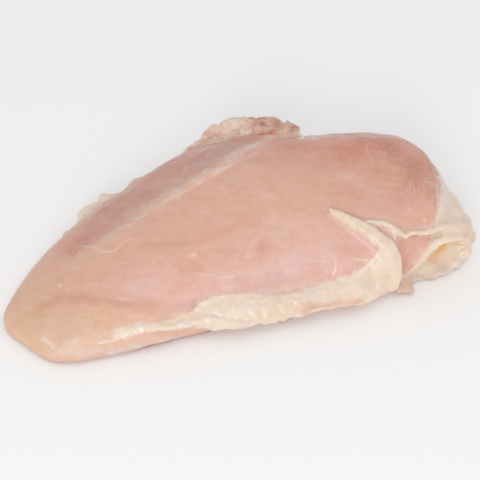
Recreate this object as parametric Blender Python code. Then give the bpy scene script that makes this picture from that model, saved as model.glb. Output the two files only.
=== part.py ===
# Raw chicken breast: one boneless, skinless half with its fat left on, lying on its cut side.
# The drawing below is in millimetres: X runs from the thin tip to the shoulder, the front
# edge with the fat strip faces -Y, and the piece rests on Z = 0. Meshes are made in metres, and
# SIZE takes the drawn shape to the real one.

import math
import random

import bmesh
import bpy
import numpy as np
from mathutils import Matrix, Vector

MM = 0.001
NODE = "chicken_breast"

# Real millimetres to a drawn one, which makes the piece 183 mm long
SIZE = 0.93

# Overall sizes of the muscle, and the middle of the whole piece's footprint
TIP_X = -98.0
SHOULDER_X = 94.0
PLAN_CENTRE = (0.22, 14.82)

# Profiles of the muscle along its length: (distance along X, value)
FRONT_EDGE = ((-98, -4), (-93, -15.4), (-80, -30.6), (-60, -33.0), (-40, -32.2), (-20, -31.6), (10, -31.4),
              (40, -32.4), (50, -33.4), (55, -30.6), (59, -24), (64, -21.6), (76, -20.8), (87, -13), (94, 2))
BACK_EDGE = ((-98, -3), (-92, 9), (-80, 23), (-60, 40.5), (-35, 53.6), (-5, 63.0), (20, 61.5),
             (45, 54.5), (70, 48), (85, 38.5), (94, 8))
CREST_LINE = ((-98, -5), (-80, -3), (-50, 8), (-20, 15), (5, 24), (35, 24.5), (60, 20), (80, 14),
              (94, 4))
CREST_RISE = ((-98, 4), (-92, 10.5), (-80, 16), (-50, 26), (-20, 35), (5, 39.2), (35, 39.4), (60, 39.0),
              (73, 38.4), (83, 36.0), (90, 29), (94, 14))
FRONT_BROW = ((-98, 3), (-70, 4.5), (40, 6), (52, 8), (59, 21), (78, 22), (94, 9))
BACK_BROW = ((-98, 3), (-60, 6), (0, 10), (60, 11), (94, 8))

# Roundness of the section above and below its brows: 2 is an ellipse, and more is squarer
FRONT_ROUND = 1.8
BACK_ROUND = 2.0
FRONT_FOOT = 6.0
BACK_FOOT = 3.4
END_TURN = 0.03

# Uneven edge, as (size, wave) pairs that shift with the height, and soft swells of the upper
# face, as (size, wave along X, wave along Y, phase)
EDGE_RIPPLE = ((0.4, 5.2), (0.25, 2.9))
RIPPLE_SHIFT = 2.5
SWELLS = ((0.5, 13, 19, 0), (0.4, -24, 9, 1.2))

# The shallow groove that runs down the keel side, parallel to the crest
GROOVE_LINE = ((-80, -1), (-66, 7.7), (-54, 15), (-42, 21.5), (-30, 28), (-18, 33), (-5, 37), (12, 41),
               (30, 42))
GROOVE_DEPTH = ((-80, 0), (-60, 0.9), (-20, 1.4), (5, 1.0), (28, 0))
GROOVE_WIDTH = 4.0

# White seam of membrane along the crest
SEAM_PLAN = ((-54, 4), (-43, 9.5), (-33.5, 13.8), (-23.5, 17.6), (-12.5, 21.6), (-3.5, 23), (4.5, 26),
             (14, 31), (24, 33))
SEAM_WIDTHS = ((0, 0.8), (0.3, 1.9), (0.6, 2.2), (1, 0.8))
SEAM_HEIGHTS = ((0, 0.5), (0.5, 1.0), (1, 0.4))

# Fat along the front edge: a thin strand from the tip that widens into a lumpy band
STRIP_PATH = ((-60, -31.6, 9.6), (-42, -31.8, 10), (-28, -31.8, 10), (-20, -32.2, 9.8),
              (-8, -33.0, 9.6), (8, -33.4, 9.4), (26, -33.2, 9), (44, -33.6, 9), (51.5, -32.6, 8.6))
STRIP_WIDTHS = ((0, 0.9), (0.28, 1.7), (0.36, 5.2), (0.5, 5.9), (0.75, 5.0), (0.9, 5.8), (1, 5))
STRIP_HEIGHTS = ((0, 1.0), (0.28, 1.4), (0.4, 2.4), (0.7, 2.0), (1, 2.4))
FRONT_NUB = ((8.0, -32.4, 2.6), (3.4, 2.6, 2.0))

# Raised fat fold that starts as a tongue on the face and turns down at the shoulder
FOLD_PLAN = ((33, -10), (38.5, -14.8), (43, -18.8), (47, -22.4), (50.2, -25.4))
FOLD_DROP = ((52.8, -28.2, 20.5), (54.0, -31.0, 13.0), (52.6, -33.0, 5.0))
FOLD_WIDTHS = ((0, 0.8), (0.15, 1.3), (0.45, 2.2), (0.7, 2.8), (0.9, 2.7), (1, 2.2))
FOLD_HEIGHTS = ((0, 0.7), (0.3, 1.3), (0.7, 2.4), (1, 2.0))

# Thin wavy rim of fat under the shoulder bulge
RIM_PLAN = ((45.5, -17.2), (50.0, -18.4), (54.0, -19.4))
RIM_SIDE = ((58.0, -21.2, 27.2), (60.5, -22.0, 25.2), (62.8, -22.4, 23.4), (65.9, -22.2, 24.6),
            (68.9, -22.8, 23.0), (72.8, -22.6, 23.4), (77.2, -22.0, 23.6), (84, -21, 22.0),
            (90, -18.5, 20))
RIM_WIDTHS = ((0, 0.9), (0.4, 1.5), (0.7, 1.6), (1, 2.2))
RIM_HEIGHTS = ((0, 0.8), (0.4, 1.3), (1, 1.6))

# Sheet of fat that hangs over the shoulder's end, and its edge line on the muscle
SKIRT_CENTRE = (83.0, -1.5, 12.2)
SKIRT_RADII = (14.2, 20.4, 15.2)
SKIRT_TURN = 8
BAND = ((83.5, -19.0, 18.8), (9.0, 5.5, 4.2))
SKIRT_EDGE = ((87, 8, 27.0), (86.5, 0, 27.2), (84.6, -8, 26.6), (81.8, -15, 25.4))
SKIRT_EDGE_SIZE = ((0, 0.9), (0.5, 1.3), (1, 1.3))

# The part of the sheet that folds under in front: its free lip, its floor and the pocket between them
CURL_PATH = ((61.5, -18, 1.8), (66, -17.5, 3.6), (70, -17.2, 5.8), (74, -17, 8.8), (79, -16.5, 10.6),
             (87, -15, 10.5), (93.5, -9, 9.5))
CURL_WIDTHS = ((0, 3.0), (0.13, 6.5), (0.26, 7.6), (0.54, 8.4), (0.76, 8.4), (1, 7))
CURL_HEIGHTS = ((0, 1.6), (0.13, 3.2), (0.26, 5.2), (0.39, 8.0), (0.54, 9.4), (0.76, 9.0), (1, 8))
LIP_PATH = ((61.5, -24.4, 3.8), (66, -25, 7.5), (68, -25, 9.6), (70.3, -25, 12.4), (72.1, -25, 15.4),
            (74, -25, 17.9), (76.8, -25, 20.0), (81, -25, 20.2), (86, -24.4, 18.8), (91.5, -21.5, 15))
LIP_SIZE = ((0, 1.0), (0.3, 1.2), (0.6, 1.4), (1, 1.6))
FLOOR_ROOT = ((62.5, -15, 2.2), (70, -14, 2.2), (79, -13, 2.2), (87, -11, 3.4), (93, -7, 6.0))
FLOOR_REACH = ((0, 12.5), (0.22, 13.8), (0.5, 15), (0.77, 12.8), (1, 11))
POCKET_PATH = ((63.5, -27, 3.0), (69, -27, 5.8), (73, -27, 8.8), (77.2, -27, 10.6), (84.3, -26.5, 10.4),
               (89.7, -25, 9.2), (95, -22, 7.8))
POCKET_DEPTHS = ((0, 2.5), (0.25, 6.0), (0.5, 9.0), (0.8, 7.0), (1, 4.0))
POCKET_HEIGHTS = ((0, 1.6), (0.18, 3.4), (0.33, 6.4), (0.466, 8.2), (0.675, 7.4), (0.84, 4.4), (1, 2.4))
SCALLOPS = (((94.4, -11.5, 14.0), 3.6), ((95.2, -15.8, 9.6), 3.4), ((92.0, -19.4, 5.4), 3.4),
            ((86.5, -22.4, 2.8), 2.8))

# Torn scraps of fat and meat: on the keel side, beside the tip's flank and at the shoulder's foot
BACK_ROOT = ((-9, 53), (2, 54), (13, 52), (24, 48), (34, 43.5), (41, 38.5))
BACK_REACH = ((0, 3), (0.14, 8.5), (0.26, 13.5), (0.55, 15.5), (0.8, 14), (0.92, 11), (1, 1.5))
BACK_ROLL_SIZE = ((0, 1.0), (0.5, 2.2), (1, 1.0))
BACK_LOBES = (((8.6, 61.6, 29.2), (8.0, 3.9, 2.6), 2), ((19.0, 61.4, 31.4), (8.6, 4.6, 3.0), -14),
              ((30.2, 55.6, 33.4), (7.0, 4.4, 2.6), -32), ((38.0, 48.0, 34.4), (4.6, 2.8, 1.8), -45))
SIDE_ROOT = ((-61, 33), (-55, 37), (-49, 41), (-42, 45))
SIDE_REACH = ((0, 1.5), (0.3, 4.6), (0.55, 3.4), (0.8, 5.2), (1, 1.5))
SIDE_BITS = (((-31.6, 51.5, 15), (4, 2.5, 2)), ((-65, 35, 9.5), (3, 2, 1.8)))
CHIP_ROOT = ((56, -28, 3.6), (59.5, -26, 3.8), (64, -23.5, 3.2))
CHIP_REACH = ((0, 4.5), (0.3, 6.5), (0.8, 10), (1, 3))
FOOT_FILL = ((59.5, -24.0, 4.0), (6.0, 5.5, 4.6))

# How the solids are joined into one: the size of the blend, its softening and the triangles kept
VOXEL = 0.85
SMOOTH_ROUNDS = 4
TRIANGLES = 11000
FOOT = 0.6
FOOT_SNAP = 0.03
END_TAPER = 0.12
ROPE_SIDES = 20
FLUTTER = 0.35


def through(points, t):
    """The smooth curve through (t, value) points, with no overshoot between them."""
    x = np.array([p[0] for p in points], float)
    y = np.array([p[1] for p in points], float)
    steps, rises = np.diff(x), np.diff(y)
    slopes = rises / steps
    sums = slopes[:-1] + slopes[1:]
    same_way = slopes[:-1] * slopes[1:] > 0
    inner = np.where(same_way, 2 * slopes[:-1] * slopes[1:] / np.where(sums == 0, 1, sums), 0)
    tangents = np.concatenate([[slopes[0]], inner, [slopes[-1]]])
    t = np.clip(np.asarray(t, float), x[0], x[-1])
    i = np.clip(np.searchsorted(x, t, side="right") - 1, 0, len(steps) - 1)
    u = (t - x[i]) / steps[i]
    return (
        y[i] * (1 + 2 * u) * (1 - u) ** 2
        + steps[i] * tangents[i] * u * (1 - u) ** 2
        + y[i + 1] * u**2 * (3 - 2 * u)
        - steps[i] * tangents[i + 1] * u**2 * (1 - u)
    )


def round_ended(points, x):
    """Like through(), but measured round a half circle, so that a profile closes with a round end."""
    middle, half = (TIP_X + SHOULDER_X) / 2, (SHOULDER_X - TIP_X) / 2

    def turn(value):
        return np.arccos(np.clip((middle - np.asarray(value, float)) / half, -1, 1))

    return through([(float(turn(px)), value) for px, value in points], turn(x))


def section(x):
    """Front, back, crest, height and the two brows of the muscle's section at x."""
    profiles = (FRONT_EDGE, BACK_EDGE, CREST_LINE, CREST_RISE, FRONT_BROW, BACK_BROW)
    return [float(round_ended(profile, x)) for profile in profiles]


def relief(x, y):
    """How far the muscle's upper face lies off its smooth form: soft swells and the keel groove."""
    swell = sum(size * math.sin(x / wave_x + y / wave_y + phase) for size, wave_x, wave_y, phase in SWELLS)
    off = (y - float(through(GROOVE_LINE, x))) / GROOVE_WIDTH
    return swell - float(through(GROOVE_DEPTH, x)) * math.exp(-off * off)


def muscle_top(x, y):
    """Height of the muscle's upper face over the point (x, y)."""
    front, back, crest, rise, front_brow, back_brow = section(x)
    edge, brow, power = (front, front_brow, FRONT_ROUND) if y < crest else (back, back_brow, BACK_ROUND)
    upward = math.sqrt(1 - min(abs((y - crest) / (edge - crest)), 1.0) ** power)
    return brow + (rise - brow + relief(x, y)) * upward


def on_muscle(points, lift=0.0):
    """Plan points set on the muscle's upper face, raised by lift."""
    return [(x, y, muscle_top(x, y) + lift) for x, y in points]


def mesh_object(name, bm):
    mesh = bpy.data.meshes.new(name)
    bmesh.ops.recalc_face_normals(bm, faces=bm.faces)
    bm.to_mesh(mesh)
    bm.free()
    obj = bpy.data.objects.new(name, mesh)
    bpy.context.scene.collection.objects.link(obj)
    return obj


def skin_rings(name, rings):
    """A closed solid through rings of points that have the same count, with its ends capped."""
    bm = bmesh.new()
    made = [[bm.verts.new(Vector(p) * MM) for p in ring] for ring in rings]
    for near, far in zip(made, made[1:]):
        for i in range(len(near)):
            j = (i + 1) % len(near)
            bm.faces.new((near[i], near[j], far[j], far[i]))
    bm.faces.new(reversed(made[0]))
    bm.faces.new(made[-1])
    return mesh_object(name, bm)


def muscle(stations=96, around=84):
    """The large breast muscle as rounded sections set along X."""
    rings = []
    middle, half = (TIP_X + SHOULDER_X) / 2, (SHOULDER_X - TIP_X) / 2
    for turn in np.linspace(END_TURN, math.pi - END_TURN, stations):
        x = middle - half * math.cos(turn)
        front, back, crest, rise, front_brow, back_brow = section(x)
        ring = []
        for angle in np.linspace(0, 2 * math.pi, around, endpoint=False):
            across, upward = math.cos(angle), math.sin(angle)
            edge, brow = (back, back_brow) if across > 0 else (front, front_brow)
            uneven = sum(size * math.sin(x / wave + RIPPLE_SHIFT * upward) for size, wave in EDGE_RIPPLE)
            edge += math.copysign(uneven, across)
            if upward >= 0:
                power = BACK_ROUND if across > 0 else FRONT_ROUND
                y = crest + (edge - crest) * abs(across) ** (2 / power)
                z = brow + (rise - brow + relief(x, y)) * upward
            else:
                power = BACK_FOOT if across > 0 else FRONT_FOOT
                y = crest + (edge - crest) * abs(across) ** (2 / power)
                z = brow * (1 - abs(upward) ** (2 / power))
            ring.append((x, y, z))
        rings.append(ring)
    return skin_rings("muscle", rings)


def smooth_path(points, count):
    """Evenly spaced points of the smooth curve through a few, each with its share of the way."""
    points = [Vector(p) for p in points]
    reach = [0.0]
    for a, b in zip(points, points[1:]):
        reach.append(reach[-1] + (b - a).length)
    ts = np.linspace(0, reach[-1], count)
    axes = [through([(r, p[k]) for r, p in zip(reach, points)], ts) for k in range(3)]
    return [Vector(p) for p in zip(*axes)], ts / reach[-1]


def ripple(seed, cycles):
    """A seeded uneven wave along a path, from -1 to 1, with the given numbers of swells."""
    draw = random.Random(seed)
    phases = [draw.uniform(0, 2 * math.pi) for _ in cycles]
    waves = [(2 * math.pi * cycle, phase) for cycle, phase in zip(cycles, phases)]
    return lambda share: sum(math.sin(turns * share + phase) for turns, phase in waves) / len(waves)


def rope(name, points, widths, heights, outward, uneven=0.0, seed=1, cycles=(7, 13), square=2, steps=48):
    """A flattened roll with rounded ends. Widths and heights are (share of the way, half size)."""
    wave = ripple(seed, cycles)
    path, shares = smooth_path(points, steps)
    normal = Vector(outward).normalized()
    rings = []
    for i, (point, share) in enumerate(zip(path, shares)):
        along = (path[min(i + 1, steps - 1)] - path[max(i - 1, 0)]).normalized()
        side = along.cross(normal).normalized()
        lift = side.cross(along).normalized()
        tapered = math.sqrt(1 - (1 - min(share, 1 - share, END_TAPER) / END_TAPER) ** 2 * 0.99)
        scale = tapered * (1 + uneven * wave(share))
        half = float(through(widths, share)) * scale
        tall = float(through(heights, share)) * scale
        ring = []
        for angle in np.linspace(0, 2 * math.pi, ROPE_SIDES, endpoint=False):
            across, upward = math.cos(angle), math.sin(angle)
            across = math.copysign(abs(across) ** (2 / square), across)
            upward = math.copysign(abs(upward) ** (2 / square), upward)
            ring.append(point + side * half * across + lift * tall * upward)
        rings.append(ring)
    return skin_rings(name, rings)


def torn_sheet(name, root, reach, outward, thickness, tatter, cycles, seed, steps=48):
    """A torn flap that leaves its root path towards outward, with a thin free edge of uneven reach."""
    wave = ripple(seed, cycles)
    flutter = ripple(seed + 1, (cycles[0] / 2, cycles[0]))
    path, shares = smooth_path(root, steps)
    away = Vector(outward).normalized()
    rings = []
    for i, (point, share) in enumerate(zip(path, shares)):
        along = (path[min(i + 1, steps - 1)] - path[max(i - 1, 0)]).normalized()
        lift = away.cross(along).normalized()
        if lift.z < 0:
            lift.negate()
        length = float(through(reach, share)) * (1 + tatter * wave(share))
        rise = FLUTTER * thickness * flutter(share)
        ring = []
        for angle in np.linspace(0, 2 * math.pi, ROPE_SIDES, endpoint=False):
            out = 0.5 - 0.5 * math.cos(angle)
            body = thickness * (1 - 0.55 * out) * math.sin(angle)
            ring.append(point + away * length * out + lift * (body + rise * out))
        rings.append(ring)
    return skin_rings(name, rings)


def ball(name, centre, radii, turn=0.0):
    bm = bmesh.new()
    bmesh.ops.create_uvsphere(bm, u_segments=28, v_segments=18, radius=MM)
    placed = Matrix.Translation(Vector(centre) * MM) @ Matrix.Rotation(math.radians(turn), 4, "Z")
    bmesh.ops.transform(bm, matrix=placed @ Matrix.Diagonal((*radii, 1)), verts=bm.verts)
    return mesh_object(name, bm)


def front_fat():
    """The front strip with its nub, and the fold that rises from its end."""
    path = on_muscle(FOLD_PLAN, 0.9) + list(FOLD_DROP)
    lumps = (9, 17, 26)
    return [
        rope("strip", STRIP_PATH, STRIP_WIDTHS, STRIP_HEIGHTS, (0, -0.8, 0.6), 0.13, 4, lumps, steps=80),
        rope("fold", path, FOLD_WIDTHS, FOLD_HEIGHTS, (0.1, -0.6, 0.8), 0.06, 7),
        ball("nub", *FRONT_NUB),
    ]


def shoulder_mass():
    """The sheet of fat over the shoulder's end and the part of it that folds under in front."""
    return [
        ball("skirt", SKIRT_CENTRE, SKIRT_RADII, SKIRT_TURN),
        rope("curl", CURL_PATH, CURL_WIDTHS, CURL_HEIGHTS, (0, 0, 1), square=3.2),
        ball("band", *BAND),
    ]


def shoulder_fat():
    """The rim and edges of the shoulder's fat, and the scalloped floor below its fold."""
    path = on_muscle(RIM_PLAN, 0.5) + list(RIM_SIDE)
    edges = [
        rope("rim", path, RIM_WIDTHS, RIM_HEIGHTS, (0, -0.7, 0.7), 0.2, 9),
        rope("skirt_edge", SKIRT_EDGE, SKIRT_EDGE_SIZE, SKIRT_EDGE_SIZE, (0.3, -0.2, 0.9), 0.15, 5),
        rope("lip", LIP_PATH, LIP_SIZE, LIP_SIZE, (0, 0, 1), 0.15, 6),
        torn_sheet("floor", FLOOR_ROOT, FLOOR_REACH, (0.12, -0.99, -0.02), 2.3, 0.05, (4, 7), 2),
    ]
    return edges + [ball("scallop", centre, (radius,) * 3) for centre, radius in SCALLOPS]


def torn_scraps():
    """The ragged bits of fat and meat round the edge."""
    back_root, side_root = on_muscle(BACK_ROOT, -2.5), on_muscle(SIDE_ROOT, -2.5)
    roll = on_muscle(BACK_ROOT, 0.2)
    tears = (4, 7)
    scraps = [
        torn_sheet("back_flap", back_root, BACK_REACH, (0.1, 0.95, 0.14), 3.0, 0.06, tears, 3, steps=70),
        rope("back_roll", roll, BACK_ROLL_SIZE, BACK_ROLL_SIZE, (0, 0.5, 0.8), 0.25, 8),
        torn_sheet("side_flap", side_root, SIDE_REACH, (-0.35, 0.9, 0.1), 2.2, 0.2, (3, 7), 6),
        torn_sheet("chip", CHIP_ROOT, CHIP_REACH, (0.15, -0.98, -0.12), 2.2, 0.12, (3, 5), 8),
        ball("foot_fill", *FOOT_FILL),
    ]
    scraps += [ball("back_lobe", *lobe) for lobe in BACK_LOBES]
    return scraps + [ball("side_bit", centre, radii, 35) for centre, radii in SIDE_BITS]


def fold_pocket():
    """The hollow under the folded fat at the shoulder."""
    return rope("pocket", POCKET_PATH, POCKET_DEPTHS, POCKET_HEIGHTS, (0, 0, 1))


def joined(name, pieces):
    """Puts overlapping solids into one mesh."""
    bpy.ops.object.select_all(action="DESELECT")
    for piece in pieces:
        piece.select_set(True)
    body = pieces[0]
    bpy.context.view_layer.objects.active = body
    bpy.ops.object.join()
    body.name = name
    return body


def applied(obj):
    """Replaces the object's mesh by what its modifiers make of it."""
    graph = bpy.context.evaluated_depsgraph_get()
    mesh = bpy.data.meshes.new_from_object(obj.evaluated_get(graph))
    obj.modifiers.clear()
    old = obj.data
    obj.data = mesh
    bpy.data.meshes.remove(old)
    mesh.name = obj.name
    return obj


def blend(obj, rounds):
    """Fuses the solids in the mesh into one skin and softens where they meet."""
    skin = obj.modifiers.new("skin", "REMESH")
    skin.mode = "VOXEL"
    skin.voxel_size = VOXEL * MM
    if rounds:
        soften = obj.modifiers.new("soften", "SMOOTH")
        soften.factor = 0.5
        soften.iterations = rounds
    applied(obj)


def hollow(obj, cutter):
    cut = obj.modifiers.new("cut", "BOOLEAN")
    cut.operation = "DIFFERENCE"
    cut.solver = "EXACT"
    cut.object = cutter
    applied(obj)
    bpy.data.objects.remove(cutter)


def thin_out(obj):
    obj.data.calc_loop_triangles()
    fewer = obj.modifiers.new("fewer", "DECIMATE")
    fewer.ratio = TRIANGLES / len(obj.data.loop_triangles)
    fewer.use_collapse_triangulate = True
    applied(obj)


def flatten_foot(obj, height):
    """Presses all that lies lower than height into one flat face."""
    for vert in obj.data.vertices:
        vert.co.z = max(vert.co.z, height * MM)


def set_down(obj):
    """Puts the flat face on Z = 0, centres the footprint and gives the piece its real size."""
    for vert in obj.data.vertices:
        vert.co = (vert.co - Vector((*PLAN_CENTRE, FOOT)) * MM) * SIZE
        if vert.co.z < FOOT_SNAP * MM:
            vert.co.z = 0
    obj.data.update()


def flesh():
    material = bpy.data.materials.new("raw_chicken")
    material.use_nodes = True
    shader = material.node_tree.nodes["Principled BSDF"]
    shader.inputs["Base Color"].default_value = (0.72, 0.45, 0.35, 1)
    shader.inputs["Roughness"].default_value = 0.35
    return material


def main():
    for obj in list(bpy.data.objects):
        bpy.data.objects.remove(obj)
    breast = joined(NODE, [muscle()] + shoulder_mass())
    blend(breast, 0)
    hollow(breast, fold_pocket())
    seam = rope("seam", on_muscle(SEAM_PLAN, 0.1), SEAM_WIDTHS, SEAM_HEIGHTS, (0, 0.3, 0.9), 0.2, 12)
    breast = joined(NODE, [breast, seam] + front_fat() + shoulder_fat() + torn_scraps())
    blend(breast, SMOOTH_ROUNDS)
    flatten_foot(breast, FOOT)
    thin_out(breast)
    set_down(breast)
    breast.data.materials.append(flesh())
    breast.data.shade_smooth()


main()
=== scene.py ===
# Raw chicken breast half, lying on its cut side: lean meat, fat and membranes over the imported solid.
# Shapes are drawn in millimetres, as the solid's own drawing is: x runs from the tip to the shoulder,
# y from the front edge to the keel side, z up from the floor. toFrame() takes them to the frame's metres.

import math
import random

import bmesh
import bpy
import numpy as np
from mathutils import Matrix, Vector, noise
from mathutils.bvhtree import BVHTree
from mathutils.kdtree import KDTree


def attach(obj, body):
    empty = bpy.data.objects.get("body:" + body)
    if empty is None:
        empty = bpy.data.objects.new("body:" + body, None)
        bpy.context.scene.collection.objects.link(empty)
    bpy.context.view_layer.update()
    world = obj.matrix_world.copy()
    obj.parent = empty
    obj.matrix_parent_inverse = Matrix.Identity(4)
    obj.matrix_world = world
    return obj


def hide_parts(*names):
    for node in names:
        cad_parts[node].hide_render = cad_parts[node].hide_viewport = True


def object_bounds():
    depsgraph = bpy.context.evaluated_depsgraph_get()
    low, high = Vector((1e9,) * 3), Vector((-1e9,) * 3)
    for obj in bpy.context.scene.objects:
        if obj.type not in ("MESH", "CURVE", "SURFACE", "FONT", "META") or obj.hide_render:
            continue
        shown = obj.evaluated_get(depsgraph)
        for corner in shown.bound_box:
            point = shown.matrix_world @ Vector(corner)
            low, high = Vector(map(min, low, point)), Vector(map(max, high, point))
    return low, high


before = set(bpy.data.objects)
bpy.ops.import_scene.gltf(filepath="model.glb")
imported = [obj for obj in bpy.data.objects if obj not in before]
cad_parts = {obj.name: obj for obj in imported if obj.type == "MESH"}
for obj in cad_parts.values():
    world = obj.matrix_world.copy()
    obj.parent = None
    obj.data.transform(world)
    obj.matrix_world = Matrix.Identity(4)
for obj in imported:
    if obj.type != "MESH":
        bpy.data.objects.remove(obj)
cadLow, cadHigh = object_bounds()
scene = bpy.context.scene

drawing = {
    "centre": (0.22, 14.82),  # the frame's origin in the drawing
    "length": 196.33,         # drawn length of the whole piece
}
drawnMm = (cadHigh.x - cadLow.x) / drawing["length"]  # metres in one drawn millimetre


def toFrame(point):
    return Vector((point[0] - drawing["centre"][0], point[1] - drawing["centre"][1], point[2])) * drawnMm


print("frame loaded:", len(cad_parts), "solid")


# Curves, distances and unevenness

def valueAlong(points, at):
    # Smooth curve through (place, value) pairs that never overshoots them
    x = np.array([p[0] for p in points], float)
    y = np.array([p[1] for p in points], float)
    steps = np.diff(x)
    slopes = np.diff(y) / steps
    total = slopes[:-1] + slopes[1:]
    inner = np.where(slopes[:-1] * slopes[1:] > 0,
                     2 * slopes[:-1] * slopes[1:] / np.where(total == 0, 1, total), 0)
    tangents = np.concatenate([slopes[:1], inner, slopes[-1:]])
    at = np.clip(np.asarray(at, float), x[0], x[-1])
    i = np.clip(np.searchsorted(x, at, side="right") - 1, 0, len(steps) - 1)
    u = (at - x[i]) / steps[i]
    return (y[i] * (1 + 2 * u) * (1 - u) ** 2 + steps[i] * tangents[i] * u * (1 - u) ** 2
            + y[i + 1] * u**2 * (3 - 2 * u) - steps[i] * tangents[i + 1] * u**2 * (1 - u))


def smoothPath(points, count):
    # Evenly spaced places on the smooth curve through the points, and the share of the way at each
    points = np.array(points, float)
    reach = np.concatenate([[0], np.cumsum(np.linalg.norm(np.diff(points, axis=0), axis=1))])
    at = np.linspace(0, reach[-1], count)
    path = np.stack([valueAlong(list(zip(reach, points[:, k])), at) for k in range(3)], axis=1)
    return path, at / reach[-1]


def softStep(low, high, value):
    u = np.clip((value - low) / (high - low), 0, 1)
    return u * u * (3 - 2 * u)


def nearPath(points, path, limit):
    # Distance to the path and share of the way at the nearest place. Far points keep the limit,
    # and a whole limit makes the distances whole too.
    distance = np.full(len(points), limit)
    share = np.zeros(len(points))
    low, high = path.min(axis=0) - limit, path.max(axis=0) + limit
    close = np.nonzero(((points > low) & (points < high)).all(axis=1))[0]
    if not len(close):
        return distance, share
    some = points[close]
    best, place = np.full(len(some), limit), np.zeros(len(some))
    for i, (a, b) in enumerate(zip(path[:-1], path[1:])):
        run = b - a
        t = np.clip(((some - a) @ run) / (run @ run), 0, 1)
        gap = np.linalg.norm(some - a - t[:, None] * run, axis=1)
        nearer = gap < best
        best[nearer] = gap[nearer]
        place[nearer] = (i + t[nearer]) / (len(path) - 1)
    distance[close], share[close] = best, place
    return distance, share


def insideOutline(flat, outline):
    # How far each flat point lies inside a closed outline; outside it is negative
    outline = np.array(outline, float)
    gap = np.full(len(flat), 1e9)
    inside = np.zeros(len(flat), bool)
    for a, b in zip(outline, np.roll(outline, -1, axis=0)):
        run = b - a
        t = np.clip(((flat - a) @ run) / (run @ run), 0, 1)
        gap = np.minimum(gap, np.linalg.norm(flat - a - t[:, None] * run, axis=1))
        crosses = (a[1] > flat[:, 1]) != (b[1] > flat[:, 1])
        level = np.where(crosses, (flat[:, 1] - a[1]) / (run[1] if run[1] else 1), 0)
        inside ^= crosses & (flat[:, 0] < a[0] + level * run[0])
    return np.where(inside, gap, -gap)


def turned(points, degrees):
    # The points in axes turned about z, so that x runs along the heading
    c, s = math.cos(math.radians(degrees)), math.sin(math.radians(degrees))
    along, across = points[:, 0] * c + points[:, 1] * s, points[:, 1] * c - points[:, 0] * s
    return np.stack([along, across, points[:, 2]], axis=1)


def waves(points, length, seed, stretch=(1, 1, 1), count=16):
    # Seeded smooth unevenness, mostly from -1.5 to 1.5, with swells of about the given length
    draw = np.random.default_rng(seed)
    turns = draw.normal(size=(count, 3))
    turns *= (draw.uniform(0.7, 1.4, count) * 2 * math.pi / length / np.linalg.norm(turns, axis=1))[:, None]
    turns /= np.array(stretch, float)
    phases = draw.uniform(0, 2 * math.pi, count)
    return np.sin(points @ turns.T + phases).sum(axis=1) / math.sqrt(count)


def swell(points, size, seed):
    # Unevenness of a size given as (height, length)
    return size[0] * waves(points, size[1], seed)


# Closed forms in drawn millimetres

rounding = {
    "corners": 24,     # of each ring
    "rollSteps": 64,   # rings along a roll
    "sheetSteps": 80,  # rings along a torn sheet
    "endShare": 0.08,  # share of a roll that rounds off at each end
    "endDepth": 0.99,  # how far it closes there
    "lumpSwell": 1.6,  # length of a lump's unevenness, in its own radii
}
torn = {
    "thinning": 0.6,  # share of its thickness that a torn sheet loses towards its edge
    "flutter": 0.4,   # how far its edge rises and sinks, in thicknesses
}
ringAngles = np.linspace(0, 2 * math.pi, rounding["corners"], endpoint=False)


def meshObject(name, bm):
    bmesh.ops.recalc_face_normals(bm, faces=bm.faces)
    mesh = bpy.data.meshes.new(name)
    bm.to_mesh(mesh)
    bm.free()
    obj = bpy.data.objects.new(name, mesh)
    scene.collection.objects.link(obj)
    return obj


def ringSkin(name, rings):
    bm = bmesh.new()
    made = [[bm.verts.new(p) for p in ring] for ring in rings]
    for near, far in zip(made, made[1:]):
        for i in range(len(near)):
            j = (i + 1) % len(near)
            bm.faces.new((near[i], near[j], far[j], far[i]))
    bm.faces.new(reversed(made[0]))
    bm.faces.new(made[-1])
    return meshObject(name, bm)


def unevenWave(seed, cycles):
    draw = random.Random(seed)
    parts = [(2 * math.pi * cycle, draw.uniform(0, 2 * math.pi)) for cycle in cycles]
    return lambda share: sum(math.sin(turn * share + phase) for turn, phase in parts) / len(parts)


def pathFrames(points, count, outward):
    path, shares = smoothPath(points, count)
    places = [Vector(p) for p in path]
    frames = []
    for i, (place, share) in enumerate(zip(places, shares)):
        along = (places[min(i + 1, count - 1)] - places[max(i - 1, 0)]).normalized()
        side = along.cross(Vector(outward)).normalized()
        frames.append((place, float(share), side, side.cross(along).normalized()))
    return frames


def roll(name, points, widths, outward, heights=None, uneven=0.0, cycles=(7, 13), seed=1, square=2.0):
    # Flattened roll with round ends; widths and heights are (share of the way, half size)
    wave = unevenWave(seed, cycles)
    rings = []
    for place, share, side, lift in pathFrames(points, rounding["rollSteps"], outward):
        nearEnd = min(share, 1 - share, rounding["endShare"]) / rounding["endShare"]
        scale = math.sqrt(1 - (1 - nearEnd) ** 2 * rounding["endDepth"]) * (1 + uneven * wave(share))
        half, tall = (float(valueAlong(sizes, share)) * scale for sizes in (widths, heights or widths))
        ring = []
        for angle in ringAngles:
            across = math.copysign(abs(math.cos(angle)) ** (2 / square), math.cos(angle))
            upward = math.copysign(abs(math.sin(angle)) ** (2 / square), math.sin(angle))
            ring.append(place + side * half * across + lift * tall * upward)
        rings.append(ring)
    return ringSkin(name, rings)


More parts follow.
